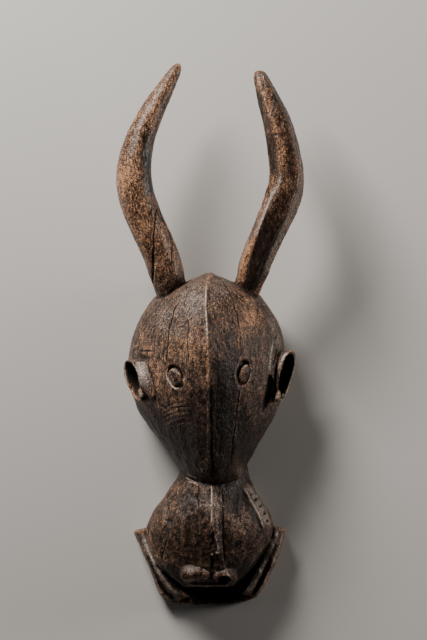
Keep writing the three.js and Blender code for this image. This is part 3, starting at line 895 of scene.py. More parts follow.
# height in mm, less than zero where it is pressed in, the line, its width, and the share that thins out
# at each end
RAISED_LINES = [
    (1.0, RIDGE, 1.5, 0.12), (-2.2, RIDGE_GROOVE, 2.4, 0.12), (1.6, BEVEL, 1.8, 0.12),
    (-1.2, BESIDE_BEVEL, 3.0, 0.12), (-1.3, [(52, 52), (60, 12)], 4, 0.3),
    (-1.3, [(63, 50), (71, 14)], 4, 0.3),
    (1.2, [(-108, -23), (-104, -17), (-97, -14)], 1.8, 0.12), (-1.6, [(-98, -22), (-79, -22)], 1.3, 0.12),
    (1.8, [(-98, -82), (-86, -101), (-76, -116)], 2.6, 0.12),
    *[(0.9, rim, 1.5, 0.3) for rim in EYE_RIMS],
    *[(1.2, line, 1.3, 0.12) for line in CHIN_BARS],
    *[(-0.6, line, 1.2, 0.3) for line in CHEEK_ARCS],
]
# height, middle, radii and turn
RAISED_OVALS = [
    (2.4, (39.7, -192), (8, 10), 0), (-2.4, (-92, -31), (11, 4), -0.2), (-2.4, (-91, -106), (5, 14), 0.65),
    (-0.8, (-11, -181), (6, 6), 0), (-2.0, (38, -236), (15, 24), -0.4),
]
# middle, radius and depth of the round pits where knots and worms have been
PITS = [
    ((-55, -258), 4.0, 2.6), ((-40, -231), 2.2, 1.6), ((-24.5, -243), 2.0, 1.4), ((91.6, -4), 1.6, 1.8),
    ((88.4, -13), 1.4, 1.6), ((-85, 283), 2.2, 1.6), ((91.5, 276), 1.6, 1.4), ((84, 94), 1.8, 1.8),
    ((53.4, -217.3), 1.6, 1.6), ((57.2, -221), 1.7, 1.8), ((63.9, -228), 2.1, 2.0), ((70.5, -237), 2.1, 2.0),
    ((76, -247.5), 2.3, 2.0), ((80, -257.5), 2.2, 1.8), ((-66, 158), 2.4, 1.4), ((115, 212), 2.0, 1.6),
    ((-60, -290), 1.8, 1.4),
]
PIT_LENGTH = 1.2  # a pit's length along the grain, against its width
RAISED_OVALS += [(-depth, middle, (radius, PIT_LENGTH * radius), 0) for middle, radius, depth in PITS]

raised = sum(height * trace(line, width, ends) for height, line, width, ends in RAISED_LINES)
raised += sum(height * oval(middle, radii, turn) for height, middle, radii, turn in RAISED_OVALS)
print("lines and ovals:", len(RAISED_LINES) + len(RAISED_OVALS))

# %% [markdown]
# ## The strip down the muzzle
# A flat strip runs down the muzzle from the chin, with a bright crest at its left. It narrows towards the
# nose, where a splinter has been torn out beside it, and below that a deep slot runs to the nose, with two
# small knobs at its upper end. The strip is the stretch between a straight right border and a left one that
# changes with y. The lost splinter is an oval whose depth follows a fine noise, as torn fibres do.

# %% The strip and the lost splinter
STRIP_HEIGHT = 1.3
STRIP_LEFT_Y, STRIP_LEFT_X = [-311, -290, -264, -250], [12, 9, 3.5, 1.2]
STRIP_RIGHT = (19.5, 17.5)  # x where the strip is back on the muzzle, and where it has its height
# height, line and width
STRIP_CRESTS = [(1.1, [(2.6, -203), (2.6, -262), (3.2, -278)], 1.1), (0.7, [(14.2, -205), (15, -232)], 1.2)]
SPLINTER = {"middle": (4.5, -283), "radii": (3.8, 13), "turn": -0.08}
SPLINTER_DEPTH = 3.0
# depth, middle and radii of the slot above the nose and of the shallow stretch over it
SLOTS = [(4.2, (3.6, -314.5), (2.9, 10)), (1.0, (0, -292), (3, 16))]
# height, middle and radii
KNOBS = [(2.0, (3.5, -303.5), (2.4, 1.8)), (2.2, (9.8, -301), (2.2, 2.0))]

x, y = points[:, 0], points[:, 1]
down = smooth(-335, -300, y) * smooth(-202, -212, y)
strip_left = np.interp(y, STRIP_LEFT_Y, STRIP_LEFT_X)
raised += STRIP_HEIGHT * down * smooth(0, 2, x - strip_left) * smooth(*STRIP_RIGHT, x)
for height, line, width in STRIP_CRESTS:
    raised += height * trace(line, width)
raised -= SPLINTER_DEPTH * oval(**SPLINTER) * (0.8 + 0.6 * noise(points, (3, 5, 3), 63))
raised -= sum(depth * oval(middle, radii) for depth, middle, radii in SLOTS)
raised += sum(height * oval(middle, radii) for height, middle, radii in KNOBS)
raised *= seen_from_above()
place_points(points + raised[:, None] * skin_normals())
print("raised by up to", raised.max().round(1), "and pressed by", raised.min().round(1), "mm")

# %% [markdown]
# ## Tool marks
# A short adze takes off flat chips along the grain. Each chip leaves a shallow hollow, and the crests
# between them stay standing, softened by handling. On the horns the cuts are long and narrow, and the
# gouge that dug the hollow left deep wide ones. Noise of three sizes takes the last evenness out, and a
# fourth leaves small nicks.

# %% Chips and unevenness
SET_BACK = 0.2  # mm that the whole skin is set back for the crests between the cuts

points, facing = skin_points(), skin_normals()
x, y, z = points.T
on_horn = smooth(80, 98, y + 0.1 * (z - 100))
on_muzzle = smooth(-196, -206, y) * (1 - inside)
on_head = (1 - on_horn) * (1 - on_muzzle) * (1 - inside)
# where, height of the crests in mm, size of a cut in mm, and seed
CHIPS = [
    (on_head, 1.7, (16, 36, 16), 11), (on_muzzle, 2.4, (11, 20, 11), 21),
    (on_horn, 1.0, (11, 42, 11), 31), (inside, 3.2, (22, 30, 22), 41),
]
marks = sum(height * where * cuts(points, size, seed) for where, height, size, seed in CHIPS)
marks += 0.5 * noise(points, 34, 51) + 0.3 * noise(points, (7, 16, 7), 52)
marks += 0.22 * noise(points, (3.6, 7, 3.6), 54)
marks -= 0.4 * (1 - inside) * smooth(0.25, 0.7, noise(points, (3.5, 9, 3.5), 53))
marks *= smooth(0.2, 4, z)
place_points(points + (marks - SET_BACK)[:, None] * facing)
print("tool marks from", marks.min().round(2), "to", marks.max().round(2), "mm")

# %% [markdown]
# ## Cracks
# Old wood splits along its grain, so the long cracks run from top to bottom, over the brow and through the
# right eye. Each is a few points on the plan, and a little sideways noise makes the line waver like a torn
# fibre. Most are hair lines, finer than the skin's squares. So each point keeps its distance to the crack,
# less than nothing on the left side and more on the right, and the material draws the line where it is zero.

# %% Splits in the wood
# the line, half its width in mm, its depth in mm, and how dark it is
CRACKS = [
    ([(-42.5, 47), (-48.7, 34.6), (-56.7, 2.8), (-59, -26), (-60, -41)], 0.7, 0.6, 0.9),
    ([(-28.7, 24), (-30.5, -5), (-28.7, -42)], 0.55, 0.4, 0.7),
    ([(-46.6, -76), (-42.5, -104), (-38.4, -137)], 0.55, 0.4, 0.7),
    (
        [(1.7, 84), (17, 76), (25, 64), (32, 48), (38, 26), (42, 3), (43.2, -26), (42.5, -36)],
        0.65, 0.45, 0.65,
    ),
    ([(41.5, -68), (38.5, -99), (32, -149), (28, -180)], 0.6, 0.8, 0.9),
    ([(11.1, -27), (8.1, -139), (5.9, -181)], 0.5, 0.4, 0.7),
    ([(17.8, -205), (18.8, -260), (20.7, -318)], 0.95, 1.7, 0.9),
    ([(-59, -281), (-67.4, -311)], 0.6, 0.9, 0.8),
    ([(-71.8, 180), (-76.1, 149.5), (-77.2, 119), (-78.3, 97.6)], 0.8, 1.2, 1.0),
    ([(-77.4, 114), (-78.4, 92), (-80.3, 66)], 1.2, 3.0, 1.0),
    ([(-71.3, 181), (-65.3, 160), (-54.5, 139), (-51.9, 123)], 0.6, 0.8, 0.9),
    ([(-50.5, 137), (-51.8, 112), (-53.4, 92)], 0.6, 0.8, 0.8),
    ([(-51, -101), (-40, -98.5), (-24, -100)], 0.6, 0.4, 0.55),
    ([(-15.5, -203), (-16, -225), (-15.3, -246)], 0.6, 0.5, 0.8),
    ([(35.5, -290), (36.8, -314)], 0.6, 0.6, 0.8),
    ([(90.5, -76), (88.5, -85), (86.5, -94)], 1.0, 2.0, 1.0),
    ([(93, -18), (91, -30), (88, -42)], 0.8, 1.2, 0.9),
]
CRACK_ENDS = 0.12  # share of a crack's length that thins out at each end
CRACK_REACH = 4.0  # mm to each side, in which the distance is kept
WIDER = 0.4  # mm that a pressed crack is wider than a drawn one, so that the skin can hold it
FAR = 9.0  # the value of points that no crack comes near

points, facing = skin_points(), skin_normals()
seen = seen_from_above()
waver = 1.0 * noise(points, (9, 7, 9), 61) + 0.4 * noise(points, (3, 2.5, 3), 62)
crack_side = np.full(len(points), FAR)
crack = np.zeros(len(points))
pressed = np.zeros(len(points))
for line, width, depth, darkness in CRACKS:
    distance, share = beside(line, waver)
    ends = smooth(0, CRACK_ENDS, share) * smooth(0, CRACK_ENDS, 1 - share)
    nearer = np.abs(distance) < np.abs(crack_side)
    crack_side = np.where(nearer, distance / width, crack_side)
    crack = np.where(nearer, darkness * ends * smooth(CRACK_REACH, CRACK_REACH / 2, np.abs(distance)), crack)
    pressed = np.maximum(pressed, depth * ends * np.exp(-((distance / (width + WIDER)) ** 2)))
crack *= seen
points = points - (pressed * seen)[:, None] * facing
points[:, 2] = np.maximum(points[:, 2], 0)
place_points(points)
print("points near a crack:", int((crack > 0.3).sum()))

# %% [markdown]
# ## Wear, grime and painted shade
# Hands and cloth rub whatever stands out, and soot and dust stay in whatever lies deep, where the colour is
# also darkened as painted shade. Both can be read from the form: where the softened surface lies under the true
# one there is a crest, where it lies above there is a hollow. A little softening finds thin edges, a lot of it
# finds whole noses and grooves.

# %% Crests and hollows
points, facing = skin_points(), skin_normals()
x, y, z = points.T


def crest(rounds):
    """How far, in mm, each point stands out of the surface softened by so many rounds."""
    return np.einsum("ij,ij->i", points - soften(points, rounds), facing)


THIN_ROUNDS, WIDE_ROUNDS = 5, 45
thin, wide = crest(THIN_ROUNDS), crest(WIDE_ROUNDS)
blotch = 0.5 + 0.5 * noise(points, 26, 71)
fleck = 0.5 + 0.5 * noise(points, (5, 11, 5), 72)
edge = np.clip(1.6 * thin, 0, 1) + np.clip(0.28 * wide, 0, 0.6)
deep = np.clip(-1.3 * thin, 0, 1) + np.clip(-0.35 * wide, 0, 1)
horns = smooth(78, 96, y + 0.1 * (z - 100))
print("crests stand out by up to", thin.max().round(2), "and", wide.max().round(2), "mm")

# %% [markdown]
# ## Where dust and painted highlights lie
# Some wear has its own place, and so has light that is painted where crests and walls catch the lamps. Each
# patch is an oval or a line on the plan with a strength, as the marks were, and where patches overlap the
# strongest counts. The palest are the crown, worn light and partly painted with sheen, and the painted
# highlights on the swelling beside the left ear, on the right side of the head and along the crisp crests, rims
# and lips and the edges of the right horn, whose strength past 1 makes them nearly white.

# %% Pale patches
def along_lip(rows, share):
    """The line on the plan that runs along a lip, at a share of the way from its outer to its inner edge.

    The share is one number, or one for each row.
    """
    rows = np.array(rows)
    return rows[:, :2] + (rows[:, 2:4] - rows[:, :2]) * np.reshape(share, (-1, 1))


def patches(ovals, lines):
    """The strongest of all ovals and lines at each point."""
    spots = [amount * oval(middle, radii, turn) for middle, radii, turn, amount in ovals]
    stripes = [amount * trace(line, width) for line, width, amount in lines]
    return np.max(spots + stripes, axis=0)


# middle, radii, turn and strength of each oval; line, width and strength of each stripe
# dust and painted highlights: the crown, partly painted sheen, and the lit walls beside the ears and down the
# right side
DUST_AND_HIGHLIGHT_OVALS = [
    ((-25, 46), (22, 30), -0.3, 0.9), ((-60, 22), (26, 34), -0.5, 0.5), ((14, 62), (18, 18), 0.4, 0.6),
    ((-38, 6), (26, 20), 0, 0.5), ((94, -10), (7, 12), 0, 1.1), ((88, 4), (7, 26), 0.1, 0.9),
    ((84, -36), (7, 24), -0.1, 1.0), ((90, -108), (9, 24), -0.4, 0.8), ((122, 200), (7, 40), -0.4, 0.7),
    ((4, -236), (14, 34), 0, 0.8), ((42, -262), (16, 30), -0.3, 0.5), ((39.7, -190), (8, 10), 0, 0.9),
    ((-14, -262), (15, 34), 0, 0.35), ((-94.5, -82), (3.4, 7.5), 0.35, 1.6), ((94, -85), (3.4, 8), -0.2, 1.7),
    ((-25, -324), (13, 8), 0, 1.2), ((-7, -322), (9, 6), 0, 0.9), ((22, -324), (11, 5), 0, 0.9),
    ((-95, -50), (10, 22), 0.35, 2.0), ((94, -40), (7, 30), -0.2, 0.5), ((-70, -225), (12, 22), 0.5, 0.2),
    ((3.5, -303.5), (2, 1.6), 0, 1.9), ((9.8, -301), (1.9, 1.6), 0, 2.1), ((58, -149), (3, 6), 0, 0.8),
    ((11, -326), (6, 4), 0, 0.9),
]
# painted highlights along crisp edges: the right horn's edges and flat, the bevel, the ridge, the rims of the
# eyes and ears, the lips and the chin bars
DUST_AND_HIGHLIGHT_LINES = [
    ([(122, 205), (112, 170), (98, 135), (84, 105), (72, 76)], 6.5, 1.3),
    ([(99.9, 231.6), (96.7, 212), (85.5, 193), (76.5, 171), (69, 149.5), (59.5, 128)], 2.8, 1.7),
    ([(52, -206), (63, -226), (76, -249), (82, -266)], 6.5, 1.5),
    ([(46, -207), (56, -227), (68, -247), (76, -270)], 1.2, 2.2),
    (RIDGE[1:6], 1.1, 2.6),
    ([(2.6, -203), (2.6, -262)], 1.1, 2.4),
    ([(6, -97), (6.3, -150), (6.8, -190)], 0.9, 1.0), ([(43.2, -70), (40.2, -99), (33.8, -149)], 0.9, 1.3),
    ([(3, -256), (4.5, -264), (8, -280), (11, -290), (12, -299), (14, -311)], 1.3, 1.5),
    ([(10, -208), (11, -262), (16, -310)], 4.5, 1.0), ([(64, -96), (63, -112), (63, -130)], 1.6, 0.8),
    (EYE_RIMS[0], 1.2, 2.4), (EYE_RIMS[1], 1.4, 1.6),
    ([(-56, -49), (-52, -47.5), (-46, -50), (-40, -55)], 1.1, 1.6),
    (
        [(44, -54), (46, -47), (50, -42), (55, -40.5), (57, -47), (56.3, -58), (51.5, -66), (46, -69)],
        1.1, 2.0,
    ),
    ([(111, -22), (102.6, -29), (95.7, -43), (92.2, -59.4), (90.9, -76)], 1.3, 2.6),
    ([(115, -23.4), (117.8, -34.5), (116.4, -48), (111, -65), (106.7, -79), (99.8, -88)], 1.3, 2.2),
    ([(-117, -38.6), (-117.8, -48), (-115.7, -62), (-112, -70)], 1.3, 2.0),
    ([(-96, -78), (-90, -92), (-83, -104), (-76, -119)], 2.4, 1.0),
    ([(88.5, -6), (86, -18), (84, -28), (83.2, -40), (83, -52)], 2.2, 1.9),
    (along_lip(LEFT_LIP, (0.4, 0.45, 0.5, 0.6, 0.6)), 3.6, 2.0), (along_lip(LEFT_LIP, -0.12), 1.3, 1.4),
    (along_lip(RIGHT_LIP, (0.45, 0.6, 0.72, 0.78, 0.78)), 3.8, 2.8), (along_lip(RIGHT_LIP, 0.06), 2.0, 1.6),
    ([(-31, -347), (0, -348), (28, -347)], 1.0, 1.4), ([(23.1, -328.5), (32.1, -338.9)], 1.3, 2.2),
    *[(line, 1.2, 1.7) for line in CHIN_BARS],
]
dust_and_highlight = patches(DUST_AND_HIGHLIGHT_OVALS, DUST_AND_HIGHLIGHT_LINES)
print("share of the skin that is pale:", (dust_and_highlight > 0.5).mean().round(2))

# %% [markdown]
# ## Rubbed wood, soot and painted shade
# Hands have rubbed the brow, the temples, the chin and the outside of the left horn down to orange wood.
# Soot and painted shade lie along the foot of the ridge, on the cheeks, under the chin, in the grooves of the
# lips and at the lower corners of the muzzle. Painted shade also covers the flat of the right horn that faces
# up, which lies between two lines with torn edges.

# %% Orange patches, soot and painted shade
ORANGE_OVALS = [
    ((-32, -12), (32, 20), 0, 0.9), ((53, 26), (17, 34), -0.35, 1.0), ((-78, -41), (12, 40), 0.2, 0.7),
    ((-44, -104), (24, 22), 0, 0.4), ((-44, -258), (24, 44), 0.2, 0.3), ((-47, -214), (12, 14), 0, 0.45),
    ((-119, 217), (12, 22), 0, 1.0), ((-108, -82), (8, 12), 0.4, 1.0), ((101, -78), (4, 9), 0, 0.9),
    ((52, -52), (16, 26), 0, 0.4), ((-13, -322), (8, 6), 0, 0.6), ((-22, -336), (14, 5), 0, 0.8),
    ((-82, -300), (12, 34), 0.4, 0.6), ((-27, -338.5), (7, 2.6), 0, 1.4), ((35.5, -335), (2.6, 4), 0, 1.4),
    ((42, -188), (7, 9), 0, 0.8), ((64, -108), (11, 30), 0.3, 0.5), ((30, -128), (5, 40), 0, 0.35),
]
ORANGE_LINES = [
    ([(-4.1, 17), (-3.1, -18), (-1.6, -54), (-1, -80)], 2.6, 0.8),
    ([(64, 137), (55, 120), (48, 99), (42, 70)], 6.0, 1.0),
    ([(72.9, 345), (85.9, 300.6), (96.7, 266), (99.8, 236.4), (98.5, 221)], 4.5, 0.9),
    ([(-51, 136), (-52, 100)], 4.0, 0.6), ([(87, -82), (85.5, -90), (84.3, -100)], 1.4, 2.0),
    ([(-16.2, -175.5), (-5.2, -176.5)], 1.2, 1.8), ([(-16.2, -176.5), (-9.3, -189)], 1.2, 1.6),
    ([(-113, -31), (-98, -36), (-84, -30)], 1.8, 1.0), ([(-86, -48), (-88, -66), (-86, -84)], 2.2, 0.8),
    (along_lip(LEFT_LIP, 0.95), 1.6, 1.3), (along_lip(RIGHT_LIP, -0.02), 1.4, 1.0),
    ([(99.8, -73), (101, -80), (98, -88)], 2.0, 1.4),
]
# painted shade as well as soot: beside the ridge, on the cheeks, under the chin and at the lower corners of the
# muzzle
SOOT_AND_SHADE_OVALS = [
    ((16, -120), (17, 66), 0, 0.9), ((20, -66), (15, 34), 0, 0.8), ((36, -228), (12, 18), -0.3, 0.8),
    ((-38, -150), (34, 44), -0.4, 0.7), ((-24, -114), (20, 32), 0, 0.6), ((-72, -122), (14, 34), 0.5, 0.5),
    ((51, -56.5), (3.2, 8), -0.2, 0.9), ((52, -140), (30, 46), 0.4, 0.25), ((-50, -332), (16, 15), 0.5, 1.0),
    ((47, -330), (16, 15), -0.5, 1.0), ((4.5, -284), (3.2, 11), -0.08, 0.9), ((3.4, -315), (3.0, 10), 0, 1.0),
    ((-90, -31), (7, 3), -0.2, 0.7), ((-20, -288), (50, 40), 0, 0.4), ((90, 270), (26, 90), 0.2, 0.35),
    ((-55, -258), (4, 5), 0, 0.9), ((-34, -228), (22, 22), 0, 0.35),
]
# painted shade as well as soot along lines: under the chin's step, in the ridge's groove, down the shaded sides
# of the horns and in the lips' grooves
SOOT_AND_SHADE_LINES = [
    ([(0, -197), (15, -206), (34, -205)], 5.0, 0.8), (RIDGE_GROOVE, 2.2, 1.3),
    ([(86, 345), (104, 298), (110, 257), (112, 205)], 6.0, 0.6),
    ([(64, 345), (76, 284), (86, 236), (89, 215)], 4.0, 0.6),
    ([(-86.9, 283.4), (-89, 253), (-86.9, 223), (-80.4, 192.7)], 6.0, 0.8),
    (along_lip(LEFT_LIP[1:], 0.14), 1.6, 0.9), (along_lip(RIGHT_LIP[1:], 0.32), 2.2, 1.0),
    ([(40, -206), (50, -230), (60, -250), (67, -264)], 4.5, 0.7),
]
# the flat of the right horn that faces up is painted dark as shade between these two lines, and is this strong
# at each y
FLAT_LEFT = [(99, 226), (94, 204.6), (80.5, 181), (73.5, 160), (66.5, 137), (59, 120), (52.7, 99), (47.5, 67)]
FLAT_RIGHT = [(118, 226), (114, 185.7), (105.7, 160), (95, 139), (84.5, 118), (74, 90), (66, 70)]
FLAT_Y, FLAT_STRENGTH = [58, 66, 130, 165, 190, 222, 250], [0, 1, 0.9, 0.6, 0.35, 0.2, 0]

orange = patches(ORANGE_OVALS, ORANGE_LINES)
torn = 1.6 * noise(points, (6, 9, 6), 73)
# painted shade on the upward flat of the right horn, with torn edges
shaded_flat = smooth(1.5, -2, beside(FLAT_LEFT, torn)[0]) * smooth(-2, 1.5, beside(FLAT_RIGHT, torn)[0])
shaded_flat *= np.interp(y, FLAT_Y, FLAT_STRENGTH) * smooth(95, 105, z)
on_lips = smooth(50, 44, z) * smooth(-262, -270, y)
soot_and_shade = np.maximum(patches(SOOT_AND_SHADE_OVALS, []) * (1 - 0.85 * on_lips), patches([], SOOT_AND_SHADE_LINES))
soot_and_shade = np.maximum(soot_and_shade, shaded_flat)
print("shares that are orange and sooty:", (orange > 0.5).mean().round(2), (soot_and_shade > 0.5).mean().round(2))

# %% [markdown]
# ## Holes painted black as shade
# The insides of the ears, the pit beside the right one and the mouth let no light out, so their deep shade is
# painted black. They are found from the forms that cut them: a point is in an ear when it lies under the rim
# and within the oval, and in the mouth when it lies between the lips and under the muzzle.

# %% Holes painted black as shade
# painted black as shade: the nostril, the slot above the nose, the shade under it, the groove under the left
# eyeball, and the worm holes of the planed flat
BLACK_SHADE_OVALS = [
    ((20.2, -338), (8.8, 6), 0, 1.0), ((3.4, -315.5), (2.6, 8.5), 0, 1.0), ((0, -343.8), (30, 2.6), 0, 1.0),
    ((-43.6, -68.6), (5.2, 3.6), 0.6, 1.0), ((57.2, -221), (1.5, 2.0), 0, 1.0),
    ((63.9, -228), (1.7, 2.3), 0, 1.0), ((70.5, -237), (1.7, 2.3), 0, 1.0),
    ((76, -247.5), (1.8, 2.6), 0, 1.0), ((80, -257.5), (1.6, 2.4), 0, 1.0),
]
# the lit ends of the ears: the lower end of the left one, and both lobes
EAR_ENDS = [((-108.5, -76), (5, 12.5), 0.45), ((94, -85), (4.2, 9), -0.2), ((-94.5, -82.5), (4.2, 9), 0.35)]


def ear_inside(at, opens, along, length, width):
    """1 in an ear's hollow, that is under its rim and within its oval, which narrows with the depth."""
    along = unit(along)
    opens = unit(np.array(opens) - along * (np.array(opens) @ along))
    off = points - at
    depth = -(off @ opens)
    out = np.hypot(off @ along / length, off @ np.cross(opens, along) / width)
    return smooth(1.0, 4.5, depth) * smooth(22, 19, depth) * smooth(0.97, 0.9, out + 0.015 * depth)


ears_inside = ear_inside(**LEFT_EAR) + ear_inside(**RIGHT_EAR)
for middle, radii, turn in EAR_ENDS:
    ears_inside *= 1 - 0.95 * oval(middle, radii, turn)
from_pit, share = beside([row[:2] for row in EAR_PIT])
pit_radius = np.interp(share, np.linspace(0, 1, len(EAR_PIT)), [row[3] for row in EAR_PIT])
in_pit = smooth(1.5, -2.0, np.abs(from_pit) - pit_radius) * smooth(0, 0.1, share) * smooth(0.95, 0.5, share)
black = smooth(0.3, 0.55, patches(BLACK_SHADE_OVALS, []))
left_of = beside([row[2:4] for row in LEFT_LIP])[0]
right_of = beside([row[2:4] for row in RIGHT_LIP])[0]
in_mouth = smooth(4, 0, left_of) * smooth(-4, 0, right_of) * smooth(66, 54, z) * smooth(-282, -290, y)
in_mouth *= smooth(-376, -371, y - 0.0012 * (x - 3) ** 2)
# painted shade: the holes and shaded spots are painted black
black_shade = np.clip(np.max([ears_inside, in_mouth, in_pit, black], axis=0), 0, 1)
print("points in the ears and in the mouth:", int((ears_inside > 0.5).sum()), int((in_mouth > 0.5).sum()))

# %% [markdown]
# ## What each point has been through
# Everything that was found out about the points is stored on the mesh, one named value for each kind of wear
# and for the painted shade and highlights. The material reads these names, and the thinning of the mesh carries
# them along.

# %% Values stored at the points
# painted shade as well as grime darkens the hollows; the colour also darkens over the lower face towards the
# chin
chin = smooth(-60, -150, y) * smooth(-212, -196, y)
grime_and_shade = np.clip(deep + 0.3 * chin, 0, 1)

# The stored values also carry painted light: the darkening of hollows, shaded patches and holes is painted
# shade, and the strongest pale lines are painted highlights.
stored = {
    "worn": np.clip((edge * (0.55 + 0.9 * fleck) + 0.5 * horns + 0.2 * blotch) * (1 - inside), 0, 1),
    "dust_and_highlight": dust_and_highlight * (1 - inside),
    "orange": orange * (1 - inside) * (1 - 0.8 * np.clip(dust_and_highlight, 0, 1)),
    "grime_and_shade": np.clip(grime_and_shade * (1 - 0.7 * inside), 0, 1),
    "soot_and_shade": np.clip(soot_and_shade, 0, 1) * (1 - inside),
    "black_shade": black_shade,
    "crack": crack,
    "crack_side": crack_side,
    "polish": horns,
    "raw": np.clip(inside + smooth(0.8, 0.1, z) * smooth(-0.5, -0.9, facing[:, 2]), 0, 1),
}
for name, values in stored.items():
    mask.data.attributes.new(name, "FLOAT", "POINT").data.foreach_set("value", values.astype(np.float32))
    print(f"{name}: mean {values.mean():.2f}, most {values.max():.2f}")

# %% [markdown]
# ## Fewer faces
# The even skin has several times more faces than the marks need. Decimate joins faces where the surface is
# nearly flat and keeps them small along cracks and rims. It carries the stored values along.

# %% Thinning the skin
MOST_TRIANGLES = 192_000

triangles = sum(len(face.vertices) - 2 for face in mask.data.polygons)
thinner = mask.modifiers.new("thinner", "DECIMATE")
thinner.ratio = MOST_TRIANGLES / triangles
settle(mask)
mask.data.polygons.foreach_set("use_smooth", np.ones(len(mask.data.polygons), bool))
print("triangles before and after:", triangles, len(mask.data.polygons))

# %% [markdown]
# ## Dark handled wood
# The finish is old patina: nearly black in the hollows, where painted shade darkens it further, brown where it
# is thin, orange-brown where hands have rubbed the horns, and greyish on the forehead, partly dust and partly
# painted sheen. The patterns are solid ones that run through the block, so the fibres lie along it everywhere:
# long streaks, the arcs where growth rings come to the surface, pores and flecks. The same patterns, as
# heights, give the bump that breaks up the gloss.

# %% Small helpers for the material
wood = bpy.data.materials.new("dark_wood")
wood.use_nodes = True
tree = wood.node_tree
tree.nodes.clear()


def node(kind, sockets=(), **settings):
    """Adds a node. Sockets pairs an input's name or number with a value or with another node's output."""
    made = tree.nodes.new(kind)
    for name, value in settings.items():
        setattr(made, name, value)
    for name, value in dict(sockets).items():
        if isinstance(value, bpy.types.NodeSocket):
            tree.links.new(value, made.inputs[name])
        else:
            made.inputs[name].default_value = value
    return made


def mix(factor, a, b):
    """Colour a where the factor is 0 and colour b where it is 1."""
    sockets = {0: factor}
    for key, value in ((6, a), (7, b)):
        sockets[key] = value if isinstance(value, bpy.types.NodeSocket) else (*value, 1)
    return node("ShaderNodeMix", sockets, data_type="RGBA").outputs[2]


def maths(operation, a, b=0.0, clamp=False, third=0.0):
    """The sum, product and so on of two numbers; MULTIPLY_ADD adds the third to the product."""
    return node("ShaderNodeMath", {0: a, 1: b, 2: third}, operation=operation, use_clamp=clamp).outputs[0]


def ramp(value, low, high):
    """A smooth step from 0 to 1 as the value goes from low to high."""
    sockets = {"Value": value, "From Min": low, "From Max": high}
    return node("ShaderNodeMapRange", sockets, interpolation_type="SMOOTHSTEP").outputs[0]


def stored_value(name):
    """A value stored at the points."""
    return node("ShaderNodeAttribute", attribute_name=name).outputs["Fac"]


place = node("ShaderNodeTexCoord").outputs["Object"]


def grain(size, detail=4.0, roughness=0.6, shift=0.0, turn=0.0):
    """Noise whose lumps have the given sizes in mm along x, y and z, after a turn about z."""
    sockets = {"Vector": place, "Location": (shift,) * 3, "Rotation": (0, 0, turn)}
    sockets["Scale"] = [s * MM for s in size]
    moved = node("ShaderNodeMapping", sockets, vector_type="TEXTURE").outputs[0]
    sockets = {"Vector": moved, "Scale": 1.0, "Detail": detail, "Roughness": roughness}
    return node("ShaderNodeTexNoise", sockets).outputs["Fac"]


print("material:", wood.name)

# %% [markdown]
# ## Patterns in the wood
# The surface is rough in several sizes at once. Grit and speckle are pores and dust, flecks and chips are
# bits of brown and of bare wood along the grain, strands are long fibres, and clouds are the slow change
# from dark to light. The growth rings come to the surface as faint arcs on the cheeks.

# %% Patterns in the wood
RING_WIDTH = 4.2  # mm from one growth ring to the next
RING_HEART = (6.0, 0.0, -60.0)  # a point of the line that the rings lie around, mm
WAVE = 20  # the wave texture has one ring for each full turn divided by this

grit = grain((1.5, 1.9, 1.5), 2, 0.7)
speckle = grain((1.3, 1.4, 1.3), 3, 0.8, 8.3)
dust = grain((1.8, 2.4, 1.8), 3, 0.75, 11.9)
flecks = grain((2.0, 4.4, 2.0), 4, 0.75, 1.3)
chips = grain((2.3, 5.2, 2.3), 4, 0.75, 5.9)
strands = grain((1.6, 40, 1.6), 3, 0.6, 3.1)
clouds = grain((15, 26, 15), 5, 0.66, 7.7)
scratches = grain((1.2, 16, 1.2), 2, 0.5, 2.3, 0.45)
dents = grain((6, 9, 6), 2, 0.5, 4.7)
ripples = grain((2.2, 4, 2.2), 1, 0.5, 6.1)
heart = node("ShaderNodeMapping", {"Vector": place, "Location": [-c * MM for c in RING_HEART]}).outputs[0]
ring_scale = TURN / WAVE / (RING_WIDTH * MM)
ring_sockets = {"Vector": heart, "Scale": ring_scale, "Distortion": 16.0, "Detail": 3.0, "Detail Scale": 0.3}
rings = node("ShaderNodeTexWave", ring_sockets, wave_type="RINGS", rings_direction="Y").outputs["Fac"]
print("patterns: 11")

# %% [markdown]
# ## Colours of the wood
# The ground is soot and patina. Brown wood shows through where the pattern and the wear together pass a limit,
# bare orange wood where they pass a higher one, and grey dust lies on the pale patches, whose strongest lines
# are painted highlights, nearly white. Painted shade darkens the hollows and the shaded patches towards soot
# black, and the holes are painted black. Because the wear only shifts the limits, every patch breaks up into
# flecks at its edge, as real wear does.

# %% Colours of the wood
# nearly black: soot, pores and cracks, and the colour of painted shade
SOOT_AND_SHADE_COLOUR = (0.0075, 0.0042, 0.0028)
PATINA = (0.027, 0.0155, 0.0102)
BROWN = (0.096, 0.0520, 0.0340)
ORANGE = (0.42, 0.222, 0.122)
GREY = (0.26, 0.215, 0.188)
# the nearly white colour of painted highlights
HIGHLIGHT_WHITE = (0.54, 0.45, 0.38)
RAW = (0.17, 0.105, 0.062)
# the colour of the painted black shade in holes
SHADE_BLACK = (0.0012, 0.0009, 0.0008)

worn, grime_and_shade, soot_and_shade, black_shade = (stored_value(name) for name in ("worn", "grime_and_shade", "soot_and_shade", "black_shade"))
dust_and_highlight, orange, polish, raw = (stored_value(name) for name in ("dust_and_highlight", "orange", "polish", "raw"))
crack, crack_side = stored_value("crack"), stored_value("crack_side")


def total(*terms):
    """The sum of pairs of a number and its weight."""
    result = 0.0
    for value, weight in terms:
        result = maths("MULTIPLY_ADD", value, weight, third=result)
    return result


